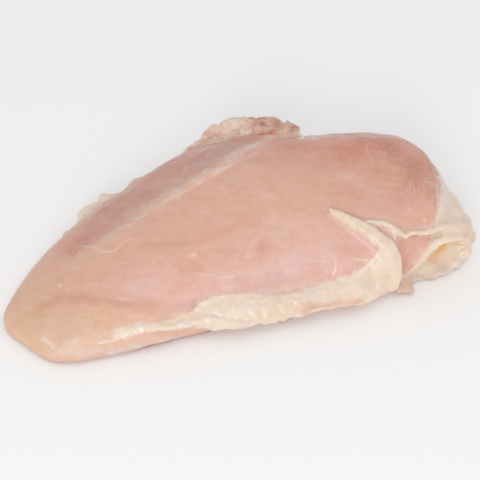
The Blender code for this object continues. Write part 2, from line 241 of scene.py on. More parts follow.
def tornSheet(name, root, reach, away, thickness, tatter, cycles, seed):
    # Flap that leaves its root towards away, thins out and ends in a ragged edge
    wave, flutter = unevenWave(seed, cycles), unevenWave(seed + 1, (cycles[0] / 2, cycles[0]))
    away = Vector(away).normalized()
    path, shares = smoothPath(root, rounding["sheetSteps"])
    places = [Vector(p) for p in path]
    rings = []
    for i, (place, share) in enumerate(zip(places, shares)):
        along = (places[min(i + 1, len(places) - 1)] - places[max(i - 1, 0)]).normalized()
        lift = away.cross(along).normalized()
        if lift.z < 0:
            lift.negate()
        length = float(valueAlong(reach, share)) * (1 + tatter * wave(share))
        rise = torn["flutter"] * thickness * flutter(share)
        ring = []
        for angle in ringAngles:
            out = 0.5 - 0.5 * math.cos(angle)
            body = thickness * (1 - torn["thinning"] * out) * math.sin(angle)
            ring.append(place + away * length * out + lift * (body + rise * out))
        rings.append(ring)
    return ringSkin(name, rings)


def lump(name, centre, radii, turn=0.0, uneven=0.0, seed=1):
    # Ellipsoid, turned about z in degrees
    bm = bmesh.new()
    bmesh.ops.create_icosphere(bm, subdivisions=4, radius=1)
    around = np.array([v.co for v in bm.verts])
    scales = 1 + uneven * waves(around, rounding["lumpSwell"], seed)
    cosine, sine = math.cos(math.radians(turn)), math.sin(math.radians(turn))
    for vert, scale in zip(bm.verts, scales):
        x, y, z = (vert.co[k] * radii[k] * scale for k in range(3))
        vert.co = Vector((x * cosine - y * sine, x * sine + y * cosine, z)) + Vector(centre)
    return meshObject(name, bm)


def melted(body, spots):
    # The skin smoothed where the spots say: (centre, radii, strength)
    points = readPoints(body.data)
    weights = np.zeros(len(points))
    for centre, radii, strength in spots:
        off = (points - np.array(centre)) / np.array(radii)
        weights = np.maximum(weights, strength * np.exp(-(off * off).sum(axis=1)))
    group = body.vertex_groups.new(name="melt")
    for i in np.nonzero(weights > 0.02)[0]:
        group.add((int(i),), float(weights[i]), "REPLACE")
    soften = body.modifiers.new("melt", "SMOOTH")
    soften.factor, soften.iterations, soften.vertex_group = 0.5, skin["meltRounds"], group.name
    applied(body)
    body.vertex_groups.clear()


def reachInto(points, obj, limit=4.0):
    # How deep each point lies in a closed form, in millimetres; outside it is negative
    mesh = obj.data
    tree = BVHTree.FromPolygons([v.co for v in mesh.vertices], [tuple(f.vertices) for f in mesh.polygons])
    corners = np.array([v.co for v in mesh.vertices])
    reach = np.full(len(points), -limit)
    low, high = corners.min(axis=0) - limit, corners.max(axis=0) + limit
    for i in np.nonzero(((points > low) & (points < high)).all(axis=1))[0]:
        place, normal, _, gap = tree.find_nearest(Vector(points[i]), limit)
        if place is not None:
            reach[i] = -gap if (Vector(points[i]) - place).dot(normal) > 0 else gap
    return reach


# Forms that lie on the muscle: joined into the skin, or only used to tell where the fat lies

fold = {
    "points": ((34.2, -8.6, 33), (38.3, -12.9, 31.7), (43.3, -17.2, 29.9), (47.2, -21, 27.9),
        (50.8, -24.8, 25.3), (54, -27.9, 21.8), (55.2, -31, 16), (54.4, -33.1, 10), (52.6, -34, 5)),
    "widths": ((0, 0.8), (0.12, 1.5), (0.3, 2.3), (0.5, 2.9), (0.66, 3), (0.85, 2.7), (1, 2)),
    "heights": ((0, 0.6), (0.3, 1.3), (0.6, 2), (0.85, 2), (1, 1.4)),
    "outward": (0.1, -0.6, 0.8), "uneven": 0.05, "seed": 7, "square": 2.4,
}
rim = {
    "points": ((45.6, -16.6, 29.9), (50.4, -17.4, 29.1), (54.2, -18.9, 28.6), (57, -21.2, 27.6),
        (59.2, -22.7, 25.7), (61.9, -23.6, 23.3), (65, -23.1, 24.3), (68.2, -23.2, 23.6), (71.6, -23, 22.4),
        (75, -22.4, 22.8), (79, -21.6, 22.6)),
    "widths": ((0, 0.5), (0.25, 0.8), (0.55, 0.85), (0.8, 0.95), (1, 0.7)),
    "outward": (0, -0.7, 0.7), "uneven": 0.18, "cycles": (9, 15), "seed": 9,
}
lip = {
    "lip": {
        "points": ((61.4, -24.8, 3.2), (65.6, -25.4, 6.6), (68.2, -25.6, 9.3), (70.6, -25.6, 12),
            (72.6, -25.6, 14.9), (74.6, -25.6, 17.2), (77.4, -25.6, 19), (81.4, -25.4, 19.2),
            (86, -24.4, 17.8), (91, -21.6, 14.4)),
        "widths": ((0, 0.9), (0.3, 1.2), (0.6, 1.4), (1, 1.3)),
        "outward": (0, 0, 1), "uneven": 0.12, "cycles": (5, 11), "seed": 6,
    },
    "lipBack": {  # the meat that swells up to it
        "points": ((63.6, -23.6, 4), (66.4, -24.2, 7.6), (68.4, -24.2, 10.6), (70.4, -24, 13.8),
            (72.8, -23.8, 16.6), (75.6, -23.6, 19.2)),
        "widths": ((0, 1.2), (0.3, 2.2), (0.7, 2.4), (1, 1.4)),
        "outward": (0, -1, 0.4),
    },
    "lipFill": {
        "points": ((63, -22.6, 4.4), (64.6, -22.4, 7.6), (65.8, -22.3, 10.2), (67.2, -22.2, 12.8),
            (68.8, -22.2, 15.4), (71.2, -21.4, 17.6), (73.6, -21.2, 19.4)),
        "widths": ((0, 1.4), (0.3, 2.2), (0.7, 2.2), (1, 1.2)),
        "outward": (0, -1, 0.4),
    },
}
skirt = {
    "body": {"centre": (83, -1.5, 11.6), "radii": (14.2, 20.4, 15.2), "turn": 8},
    "band": {"centre": (83.5, -19, 18.2), "radii": (9, 5.5, 4.2)},
    "folds": (
        ((84, -24.6, 17.2), (88.5, -22.6, 15.4), (92.4, -19, 12.9), (94.6, -15, 11.2)),
        ((83, -24.2, 20.2), (88, -21.4, 19.8), (92, -17.2, 17.8), (94.8, -12.6, 15)),
        ((86.4, -22.4, 13.6), (90.4, -20.6, 11.4), (93.6, -17, 8.6)),
    ),
    "foldLook": {"widths": ((0, 0.6), (0.5, 1.1), (1, 0.7)), "outward": (0.5, -0.5, 0.5), "uneven": 0.2},
}
shoulderFloor = {
    "sheet": {
        "root": ((62.5, -15, 1.6), (70, -14, 1.6), (79, -13, 1.6), (87, -11, 2.8), (93, -7, 5.4)),
        "reach": ((0, 12.5), (0.22, 13.8), (0.5, 15), (0.77, 12.8), (1, 11)),
        "away": (0.12, -0.99, -0.02), "thickness": 2.3, "tatter": 0.05, "cycles": (4, 7), "seed": 2,
    },
    "scallops": (((94.4, -11.5, 13.4), 3.6), ((95.2, -15.8, 9), 3.4), ((92, -19.4, 4.8), 3.4),
        ((86.5, -22.4, 2.2), 2.8)),
}
curl = {
    "points": ((61.5, -18, 1.2), (66, -17.5, 3), (70, -17.2, 5.2), (74, -17, 8.2), (79, -16.5, 10),
        (87, -15, 9.9), (93.5, -9, 8.9)),
    "widths": ((0, 3), (0.13, 6.5), (0.26, 7.6), (0.54, 8.4), (0.76, 8.4), (1, 7)),
    "heights": ((0, 1.6), (0.13, 3.2), (0.26, 5.2), (0.39, 8), (0.54, 9.4), (0.76, 9), (1, 8)),
    "outward": (0, 0, 1), "square": 3.2,
}
chip = {
    "sheet": {
        "root": ((56, -28, 3), (59.5, -26, 3.2), (64, -23.5, 2.6)),
        "reach": ((0, 4.5), (0.3, 6.5), (0.8, 10.2), (1, 3)),
        "away": (0.15, -0.98, -0.12), "thickness": 2.2, "tatter": 0.12, "cycles": (3, 5), "seed": 8,
    },
}
backFlap = {
    "sheet": {
        "root": ((-9, 53, 24.6), (2, 54, 25.5), (13, 52, 27), (24, 48, 29.3), (34, 43.5, 31.1),
            (41, 38.5, 33.2)),
        "reach": ((0, 3), (0.14, 8.5), (0.26, 13.5), (0.55, 15.5), (0.8, 14), (0.92, 11), (1, 1.5)),
        "away": (0.1, 0.95, 0.14), "thickness": 2.8, "tatter": 0.06, "cycles": (4, 7), "seed": 3,
    },
    "lobes": (((10, 61.6, 28.6), (7, 3.7, 2.4), 2), ((7, 62.8, 30.1), (2.8, 2, 1.6), 0), ((19, 61.4, 30.8),
        (8.6, 4.4, 2.8), -14), ((30.2, 55.6, 32.8), (7, 4.2, 2.5), -32), ((38, 48, 33.8), (4.6, 2.7, 1.7),
        -45)),
    "lobeUneven": 0.05,
    "rolls": (
        # rolled edges of the flap: half size and path
        (1.4, ((-6, 56.6, 25.4), (1, 59.6, 27.4), (7.6, 62.4, 30), (14, 62.4, 31.8), (20.5, 59.8, 32.8))),
        (1.5, ((17.5, 62.8, 31.6), (22.2, 60.6, 32.8), (25.2, 57.6, 33.5), (25.8, 53.6, 33.5),
            (25.4, 49.8, 33.5))),
        (1.9, ((21, 57.4, 31.9), (24, 53.8, 32.1), (27.6, 51.8, 32.5), (31.4, 50, 33.1))),
        (1.2, ((30.5, 49.6, 33.8), (32, 53.6, 34.6), (33.4, 57.4, 34.2))),
        (1.1, ((34.5, 46.6, 34.6), (36.6, 49.8, 35), (38.2, 52.2, 34.4))),
    ),
    "rollLook": {"outward": (0, 0.3, 0.9), "uneven": 0.22, "cycles": (3, 7)},
}
sideFlap = {
    "sheet": {
        "root": ((-58.4, 34.8, 14), (-53, 38.4, 14.5), (-47, 42.2, 15.1), (-40, 46.2, 15.7)),
        "reach": ((0, 1.5), (0.2, 4.6), (0.45, 5), (0.55, 4.2), (0.68, 6), (0.8, 5.8), (0.9, 3.2), (1, 1.2)),
        "away": (-0.35, 0.9, 0.1), "thickness": 2.2, "tatter": 0.04, "cycles": (3, 7), "seed": 6,
    },
    "bits": (((-55.2, 41.6, 13.7), (5.4, 3, 2.2)), ((-31, 53.2, 15), (4.5, 2.6, 2.2)), ((-65, 35, 8.9),
        (3, 2, 1.8))),
    "bitTurn": 35,
}


def makeForms():
    # (form, joined into the skin or not)
    forms = [(roll("fold", **fold), True), (roll("rim", **rim), True)]
    forms += [(roll(name, **values), True) for name, values in lip.items()]
    forms += [(lump("skirt", **skirt["body"]), False), (lump("skirtBand", **skirt["band"]), False)]
    forms.append((roll("curl", **curl), False))
    flaps = {"shoulderFloor": shoulderFloor, "chip": chip, "backFlap": backFlap, "sideFlap": sideFlap}
    forms += [(tornSheet(name, **flap["sheet"]), True) for name, flap in flaps.items()]
    for i, path in enumerate(skirt["folds"]):
        forms.append((roll(f"skirtFold{i}", path, **skirt["foldLook"], seed=20 + i), True))
    for i, (centre, radius) in enumerate(shoulderFloor["scallops"]):
        forms.append((lump(f"scallop{i}", centre, (radius,) * 3), True))
    for i, (centre, radii, turn) in enumerate(backFlap["lobes"]):
        forms.append((lump(f"flapLobe{i}", centre, radii, turn, backFlap["lobeUneven"], 70 + i), True))
    for i, (size, path) in enumerate(backFlap["rolls"]):
        half = ((0, size * 0.6), (0.4, size), (1, size * 0.7))
        forms.append((roll(f"flapRoll{i}", path, half, **backFlap["rollLook"], seed=50 + i), True))
    for i, (centre, radii) in enumerate(sideFlap["bits"]):
        forms.append((lump(f"sideBit{i}", centre, radii, sideFlap["bitTurn"]), True))
    return forms


# Paint and fine relief: lines are (half width, strength, points), spots (centre, radii, strength)

seams = {
    # paths that both colours and relief follow
    "crest": ((-39.8, 12.1, 28), (-29, 15.1, 31.4), (-17.6, 17.1, 34.4), (-5, 19.8, 37.8), (2.6, 22.5, 38.8),
        (7.8, 25.5, 38.7), (12.3, 29, 38.4)),
    "skirtFront": ((84, -6, 28.6), (86.9, -11.5, 24.7), (88.7, -14.1, 22.1), (91, -18, 19), (93, -20, 14)),
    "skirtBack": ((82.6, -10, 27), (85.3, -15.5, 22.9), (87, -19, 21.8), (89.5, -22.9, 18.7)),
    "tipStrand": ((-53.1, -30.8, 10.6), (-49.5, -30.4, 11.1), (-45.3, -31, 11), (-42.4, -31.8, 10.4),
        (-39.8, -32.3, 9.3), (-34, -32.8, 10.2)),
    "frontRoll": ((-31.7, -33.1, 9.3), (-23.7, -32.8, 10.6), (-20.7, -33.5, 10.8), (-14.1, -35.6, 8.2)),
}
paint = {
    "threadAndGlint": {"lines": (
        (0.3, 0.55, ((-64.4, 13.4, 20.1), (-61.4, 10.9, 20.9), (-57.9, 7.1, 22.8), (-55.3, 2.1, 23.8),
            (-51.9, 0.6, 24.6), (-48.2, 2.6, 25.7), (-44.8, 3.6, 26.6), (-41.9, 3, 27.4))),
        (0.3, 0.4, ((-64.4, 13.4, 20.1), (-64.6, 10.9, 20.4), (-64, 9, 20.6))),
        (0.3, 0.42, ((-26.1, -19.5, 24), (-22.5, -20.9, 23.5), (-18.1, -22.4, 22.8), (-13, -24.1, 21.9),
            (-10.2, -24.2, 22), (-7.7, -23.8, 22.4))),
        (0.36, 0.8, ((31.7, -26.3, 21.8), (30.7, -29, 18.8), (29.4, -30.6, 16.7))),
        (0.3, 0.35, ((17.4, -23.4, 23.9), (22.5, -25.2, 22.5), (28.7, -26.8, 21.2))),
        (0.32, 0.65, ((39.3, -27.7, 20.8), (41.8, -28.1, 20.2), (44.6, -28.8, 19.4))),
        (0.5, 0.55, ((48.9, -27.7, 22.8), (47.3, -28.5, 20.1), (42.2, -30.7, 16.8), (38.8, -32, 15))),
        (0.3, 0.2, ((61, 20.6, 39.5), (60.6, 14.1, 38.9), (60.2, 6.4, 37.6))),
        (0.3, 0.55, ((11.2, 26.8, 38.6), (14.8, 28.4, 38.3), (18.4, 28.8, 38.2))),
        (0.26, 0.4, ((8.4, 24.6, 38.9), (12.2, 26.2, 38.7), (15.4, 27.4, 38.5))),
        (0.45, 0.5, ((83, -5, 32), (82, -7.8, 30.9), (79.7, -14.4, 28.6), (77.5, -19.3, 25.1))),
        (0.26, 0.22, ((71.9, -2.5, 35.4), (70.3, -6.8, 34.2), (68.5, -10.9, 32.6))),
        (0.26, 0.2, ((77.4, -4.4, 34.6), (75.6, -8.8, 33.3), (73.6, -13, 31.5))),
        (0.55, 0.35, seams["crest"]),
        (0.4, 0.4, ((-55, -20, 18.5), (-52.6, -21.2, 18.3), (-50.4, -22, 18.2))),
        # painted highlights: the next three strokes are the wet glints and sheen along the tip's lower edge
        (0.34, 0.7, ((-66.4, -31.4, 8.4), (-63.5, -31.7, 8.7), (-60.5, -31.9, 8.8), (-57.4, -31.7, 9.2))),
        (0.3, 0.4, ((-76, -28.6, 9.8), (-73.6, -28.9, 9.9), (-71.8, -29, 10))),
        (0.4, 0.5, ((-60, -29.6, 11.4), (-54.9, -29.6, 11.8), (-49.1, -29.4, 12.8))),
        (0.7, 0.6, ((-54.3, -30.9, 10.5), (-54.9, -31.8, 9.5), (-55.9, -32.3, 8.1))),
    ), "spots": (
        # among these spots are painted highlight flecks over wet places; the rest are pale flecks of tissue
        ((-2.3, -19.2, 26), (1.3, 0.5, 0.6), 0.6), ((-23.2, -13.5, 27.5), (1.6, 0.7, 0.6), 0.6),
        ((-38.6, -11.6, 25.7), (0.5, 0.5, 0.5), 0.35), ((-74.7, -5.2, 17.2), (1.1, 0.5, 0.5), 0.4),
        ((66.7, -15.2, 30.3), (0.5, 0.7, 0.6), 0.4), ((47.6, 4.4, 36.9), (3.6, 2.4, 2), 0.25),
        ((-12, -27.4, 19), (2.6, 0.6, 1), 0.3),
    )},
    "filmAndSheen": {"lines": (
        (2.2, 0.35, ((-30, 15.6, 32), (-22.4, 18.6, 33.8), (-14.4, 20.6, 35.8), (-6.3, 23.4, 37.8),
            (2, 27, 38.6), (9, 32, 38), (14, 36.6, 36.8))),
        (2.4, 0.7, ((10, 29.5, 38.6), (15.6, 34, 37.6), (20.5, 39, 36.2), (27.4, 42.4, 34.5),
            (33.9, 42, 34.6), (40.3, 38.5, 36), (47, 36, 36.6), (54.5, 36, 35.6))),
        (2, 0.35, ((-57.4, 7.7, 22.8), (-49.8, 12.2, 24.6), (-42.4, 15.6, 26.4), (-35.2, 17.8, 28.7),
            (-26, 20.4, 32), (-16, 24.6, 35))),
        (1.2, 0.5, ((-12.1, 40.6, 32), (-5.8, 42.5, 32.6), (0.4, 44.4, 32.8), (7.3, 46.3, 33),
            (18.4, 48.7, 32.4))),
        (0.8, 0.45, ((-46, 8.8, 26.8),) + seams["crest"]),
        (1.5, 0.85, ((-34.9, -33, 9.6), (-27.4, -33.2, 9.8), (-20.7, -33.5, 10.8), (-17.9, -34.7, 9.6),
            (-14.1, -35.6, 8.2), (-9.2, -36.6, 6.7), (0, -37, 6), (9, -37.2, 6))),
        (1.2, 0.7, ((6, -33, 12.4), (14.5, -32.9, 11.9), (22.8, -33, 11.6), (31.3, -32.6, 12.2),
            (38.3, -31.6, 13.6))),
        # painted highlight along the fold's ridge, in the film's whitish colour
        (1.3, 0.6, ((45.9, -20.1, 30.1), (50.6, -26, 26.5), (54.6, -30.8, 21), (55.2, -34, 14.1),
            (54.3, -35.1, 9.9))),
        (2.6, 0.9, ((82.4, -4, 29.4), (84.6, -10, 26), (85.4, -15.5, 23.4), (84, -20, 22.8))),
        (2, 0.6, ((90, -8, 22), (91, -14, 19), (91.4, -18.6, 17.4))),
        (1.3, 0.7, ((65.1, -25.9, 6.9), (69, -25.7, 12.1), (73.7, -26.6, 18.1), (77, -26.2, 20))),
    ), "spots": (
        ((52, -21.8, 28), (4.6, 2.6, 3.4), 0.6), ((84, -12, 28), (3.6, 10, 5), 0.7),
        ((63, -22.6, 9), (2.4, 2, 3.4), 0.5), ((72, -26.4, 1.6), (9, 3, 1.8), 0.8),
        ((-62, 38, 14), (9, 7, 4), 0.6), ((14, -32, 14), (13, 3.4, 5), 0.55),
    )},
    # pink of the silver skin on the front, with painted light where the front faces the lamp
    "roseAndLight": {"spots": (
        ((-45, -18, 20.5), (15, 7.5, 7), 0.7), ((-26, -27, 17), (12, 6, 6), 0.9),
        ((-6, -27, 20), (17, 7, 6.5), 1), ((14, -26, 21.5), (16, 8, 8), 1.1),
        ((30, -25, 22), (13, 9, 9), 0.95), ((43, -22, 25), (8, 7, 7), 0.7),
        ((3, -15, 28.5), (13, 5, 5), 0.5), ((56, -14, 31.5), (11, 5, 4.5), 0.5),
        ((66, -23, 14), (8, 3, 9), 0.5), ((-25.9, -28.1, 14.2), (9, 5, 5), 0.6),
    )},
    # deeper salmon meat, with painted shade on the top and back of the shoulder, which face away from the
    # light
    "salmonAndShade": {"spots": (
        ((72, 6, 37), (20, 18, 12), 1), ((56, 20, 39), (24, 12, 10), 1), ((34, 28, 38.5), (20, 10, 8), 0.9),
        ((84, 12, 30), (12, 18, 14), 1), ((66, -12, 32), (12, 8, 7), 0.6), ((44, 0, 36), (14, 9, 7), 0.35),
        ((38.3, -23.7, 22.4), (5, 4, 4), 0.5), ((50, 33, 38), (30, 7, 8), 0.9),
    )},
    # painted shade: darker, deeper-toned bands along the upper rims, where they turn away from the light
    "deepRimShade": {"lines": (
        (4, 0.75, ((-70, 9, 18), (-67.3, 12.6, 19.1), (-62.5, 15.9, 20.6), (-57, 22.6, 21.3),
            (-51.5, 29, 21.3), (-45, 32.5, 22.8))),
        (3.5, 0.8, ((-30, 42, 25.6), (-21.8, 45.2, 27.1), (-13, 48.5, 27.4))),
        (5.4, 0.75, ((56, 29, 38.4), (68.9, 22.8, 38), (71, 17, 37.9), (73.2, 11.4, 37.2), (75.2, 5.2, 36),
            (76.4, -2.6, 34.5), (76.2, -8.5, 32.7), (75, -13, 31))),
        (3.4, 0.75, ((20, 40, 35.6), (40, 40, 35.8), (54, 36, 36), (66, 31, 35), (78, 24, 33), (88, 12, 28),
            (92, 2, 22))),
        (4.2, 0.75, ((76, -16, 28.4), (80.5, -8, 31.4), (83.6, 0, 32.2), (86, 8, 31), (87, 16, 28.6))),
    )},
    "ochre": {"spots": (
        ((-86, -10, 10), (20, 20, 12), 1), ((-66, -24, 12), (18, 9, 9), 0.8),
        ((-88, -18, 4), (10, 14, 5), 1.1), ((-60, 2, 21), (16, 9, 7), 0.5),
        ((-34, -2, 28.5), (16, 8, 6), 0.3), ((-4, 6, 35), (22, 9, 7), 0.2),
        ((-36, 32, 26.6), (16, 5, 5), 0.4),
    )},
    "violet": {"lines": (
        (3.2, 0.95, ((-66, 9.3, 19), (-58, 15.3, 20.8), (-50.1, 21.3, 22.4), (-42.4, 25.3, 24.4),
            (-36, 27.4, 26))),
        (3.2, 0.6, ((-42.4, 25.3, 24.4), (-34.2, 27.8, 26.6), (-26.4, 28.9, 29.6), (-14, 34, 32.2))),
        (2.6, 0.65, ((-26.4, 30.9, 28.6), (-16, 36, 31.4), (-5.8, 38.5, 34.1), (0.4, 38.9, 35.1),
            (7.3, 41.3, 34.6), (13, 42.6, 34.2))),
        (5, 0.7, ((-14, 33, 32.6), (-4, 33, 36.4), (6, 36, 36.4), (14, 40, 35.6), (22, 43, 34.8))),
        (4, 0.45, ((-52, 27, 20.6), (-34.3, 35, 24.8), (-19.6, 42, 27.8), (-5.4, 47, 30.4))),
    ), "spots": (
        ((-2, -29, 17.5), (22, 4, 3.4), 0.4), ((-25, -29.5, 15.6), (12, 3, 3), 0.5),
    )},
    "stain": {"lines": (
        (2.8, 0.55, ((-90.1, -10.7, 9.3), (-83.5, -10.7, 12.6), (-79.5, -10.4, 14.6), (-72.1, -12.8, 17),
            (-63.7, -16.7, 18.3), (-55.7, -21.5, 17.8), (-46.2, -25, 17.5), (-38.1, -27.4, 16.6))),
        (1.8, 0.35, ((-33, -15.4, 25.1), (-27.2, -18, 24.7), (-20, -18.6, 24.8))),
        (1.6, 0.35, ((-15, -15.2, 27.5), (-9.8, -15.8, 27.5), (-2, -17.4, 26.8))),
        (2.6, 0.35, ((-41, -0.4, 27.8), (-36, -3.4, 27.7), (-30, -5.6, 28), (-22, -6.6, 28.8))),
        (1.8, 0.3, ((8, -10.6, 31), (-4.1, -6.9, 32.2), (-9.9, -8.2, 31.1), (-20.7, -7.6, 30.2))),
        (1.3, 0.4, ((-64, 9.4, 20.2), (-56, 14.8, 22.1), (-46, 20.6, 24.4), (-36.2, 26.1, 26.8))),
        (1.1, 0.5, ((-46.4, -32, 9), (-43.4, -32.3, 7.9), (-39.9, -32.2, 6.6), (-35.9, -32, 6.4),
            (-28, -33.4, 6.6))),
        (4, 0.5, ((-74, 16, 13.5), (-60, 28, 15.5), (-46, 37, 18), (-31, 43, 22), (-16, 47, 25.5))),
    ), "spots": (
        ((94.4, -11.5, 13.4), (4, 4, 4), 0.3), ((95, -15.8, 9), (4, 4, 4), 0.3),
        ((93, -20, 14), (3, 3, 3), 0.25), ((93, -18, 18), (3, 3.6, 3), 0.4),
        ((89.4, -23.6, 18.2), (3.4, 3, 3), 0.4), ((60, -30, 4), (6, 4, 4), 0.45),
        ((21, -35.6, 7.8), (8, 2.4, 2), 0.3), ((16, -35.6, 8), (6, 2, 2), 0.1),
    )},
    # painted shade: orange-amber where the pocket under the lip is deepest, and under the skirt's overhanging
    # edge
    "amberShade": {"lines": (
        (1.3, 0.9, ((84.6, -19.1, 11), (82.8, -18.7, 9.2), (80.8, -18.7, 7.4), (78.8, -19.4, 6.2))),
        (3, 0.7, ((83, -18.4, 9), (79.5, -18.7, 7), (77.6, -20, 5.8), (75.6, -21.6, 5))),
        (0.9, 0.6, ((84, -19.4, 11.6), (86, -19.1, 11.2), (88.3, -19.3, 10.2), (90.1, -21, 11))),
    ), "spots": (
        ((82, -19, 9.6), (4.2, 2.6, 4), 0.9), ((79.6, -21.6, 4.8), (6, 2.6, 2.4), 0.12),
    )},
    "grey": {"lines": (
        (2.2, 0.45, ((-82, -28.6, 5.4), (-72.9, -31.7, 5.6), (-61.7, -32.9, 4.6), (-50, -32.8, 4))),
        (1.4, 1, ((-66, -31.8, 3.6), (-60, -32.9, 4), (-54, -33, 4.4), (-46.1, -32.5, 3.8),
            (-38.1, -32.2, 2.9), (-30, -31.5, 2.2))),
    )},
    "ivory": {"lines": (
        (1.2, 0.9, ((-60, -30.6, 9.6),) + seams["tipStrand"]),
        (1.5, 0.85, ((-36, -32.8, 9.8),) + seams["frontRoll"]),
        (0.7, 0.45, seams["skirtFront"]),
        (0.7, 0.45, seams["skirtBack"]),
        (0.6, 0.5, ((72, -22.6, 24.2), (81.3, -19.2, 23), (86, -19, 22.4), (89.1, -19.3, 21.3))),
        (0.6, 0.5, ((74, -24, 22.8), (80.1, -22.7, 22.9), (84.9, -22.5, 21.6), (89.5, -22.9, 18.7))),
        (1, 0.7, ((-2.3, 53, 29.6), (4.5, 54, 29.8), (11.1, 53.4, 30.2), (18.4, 51.9, 31.2))),
    ), "spots": (
        ((80, -25.8, 2.4), (10, 4, 3.4), 1.1), ((86.5, -22, 5), (5, 4, 4), 0.8),
        ((-56, 40.6, 14.6), (9, 6, 4), 0.95), ((-47, 45, 15.4), (7, 4, 3), 0.8),
        ((80.4, -21.7, 3.7), (6, 3, 3), 0.9),
    )},
    "blush": {"lines": (
        (0.7, 0.3, ((-80, -30.4, 1.2), (-66, -32.4, 1.4), (-52, -33.2, 1.8), (-40, -33.6, 2.4),
            (-28, -33.8, 3.4), (-18, -34.4, 3))),
        (1.2, 0.5, ((12, -37.2, 7), (26.7, -38.1, 7.8), (34, -38.1, 7.4), (41.9, -38, 6.8))),
    ), "spots": (
        ((5.7, -16.6, 27), (4, 3.4, 3), 0.5), ((1, -12, 29.6), (8, 3.4, 3), 0.2),
        ((21, -35.8, 7.6), (8, 2, 1.5), 0.3), ((27.6, 49.2, 32.8), (4.2, 1.8, 1.4), 1.2),
        ((33, 51, 34.4), (6, 5, 4), 0.3), ((9, 62.5, 30), (3, 2.4, 2.2), 0.3),
    )},
    "brown": {"lines": (
        (1.5, 0.75, ((21.6, 61.6, 33.6), (23.4, 58.8, 33.8), (24.4, 55.8, 33.6), (25.4, 52.6, 33.4))),
        (2, 0.9, ((23, 60.6, 33.9), (27.6, 57.2, 34.7), (29.8, 55.5, 35.3), (33, 53, 35.4))),
        (1.6, 0.5, ((26, 54.3, 34.4), (28.2, 53.5, 34.3), (30.8, 52.2, 34.8))),
        (1.4, 0.5, ((25.3, 50, 33.6), (28.6, 51.9, 33.2), (29.3, 49.6, 32.4), (32, 48.4, 32.9))),
        (1.2, 0.9, ((22.6, 61.4, 34.2), (25.6, 59.2, 34.8), (29.6, 57, 35), (33.4, 54.4, 35),
            (36, 51.4, 35.6))),
    ), "spots": (
        ((26.6, 53.8, 34.6), (2.6, 3.6, 2.6), 0.9), ((39, 46, 35), (4.6, 3.8, 3), 1),
        ((32, 51.5, 34.6), (8, 6, 4), 0.65), ((2, 62, 28), (6, 2, 2), 0.2), ((58, -32, 4), (6, 5, 5), 0.3),
    )},
    "pale": {"spots": (
        ((-72, -29, 7.5), (22, 6, 5), 0.8), ((-50, -31, 7), (20, 4, 3), 0.8),
        ((-80, -22, 10), (12, 7, 6), 0.4), ((-32, -32, 5), (12, 3, 3), 0.5),
        ((12, -12, 31), (14, 7, 6), 0.3), ((60, -2, 36), (8, 6, 5), 0.25),
    )},
    "fineLines": {"spots": (
        ((-2, 13, 37.4), (12, 8, 8), 1), ((20, -27, 18), (16, 7, 9), 0.9), ((74, -6, 33), (16, 16, 12), 0.9),
        ((-54, -26, 14), (12, 6, 6), 0.8), ((36, 4, 36), (14, 10, 8), 0.5),
    )},
    "dry": {"lines": (
        (2.2, 0.8, ((-84, -25.5, 8), (-77.7, -29.8, 7.9), (-73.2, -30.2, 8.5), (-66.5, -31.5, 8.3),
            (-57.4, -32.1, 8.8))),
    ), "spots": (
        ((68.9, -23.9, 16.6), (3.6, 3, 4), 1), ((67.3, -24.1, 14), (3.6, 3, 4), 1),
    )},
    "wet": {"spots": (
        ((-83.6, -25.4, 8.2), (2.4, 3.4, 1.6), 0.6), ((-62, -32.2, 8), (4, 0.6, 0.6), 0.3),
        ((-9, -34.8, 10), (5, 2, 2.4), 0.7), ((46.6, -34.4, 11.4), (1.5, 1.2, 1.2), 0.8),
    )},
}
beads = {
    # little wet swellings that catch the light, with a painted highlight laid on their colour too: (centre,
    # radius)
    "height": 0.2,
    "paintedGlint": 0.45,
    "places": (
        ((-84.9, -23.2, 8.4), 0.8), ((-84, -24.6, 8.4), 0.9), ((-83.1, -26.2, 8.1), 0.8),
        ((-82.3, -27.5, 7.4), 0.7), ((-74.6, -4.6, 17.2), 0.5), ((-71.8, -9.3, 17.9), 0.4),
        ((72, -19.6, 26.4), 0.55), ((-13, -33.3, 11.7), 0.5), ((-11.1, -33.8, 11.1), 0.5),
        ((-12.2, -34.6, 10), 0.6), ((-9.4, -34.8, 10), 0.5), ((-6.5, -34.4, 10.9), 0.6),
        ((-4.8, -35.5, 9.8), 0.6), ((-4.5, -36, 8.1), 0.5), ((-8.4, -35.4, 8.6), 0.5),
        ((22, -34, 10.8), 0.5), ((13.7, -35.4, 9.4), 0.5), ((47, -33.6, 10.8), 0.8),
    ),
}
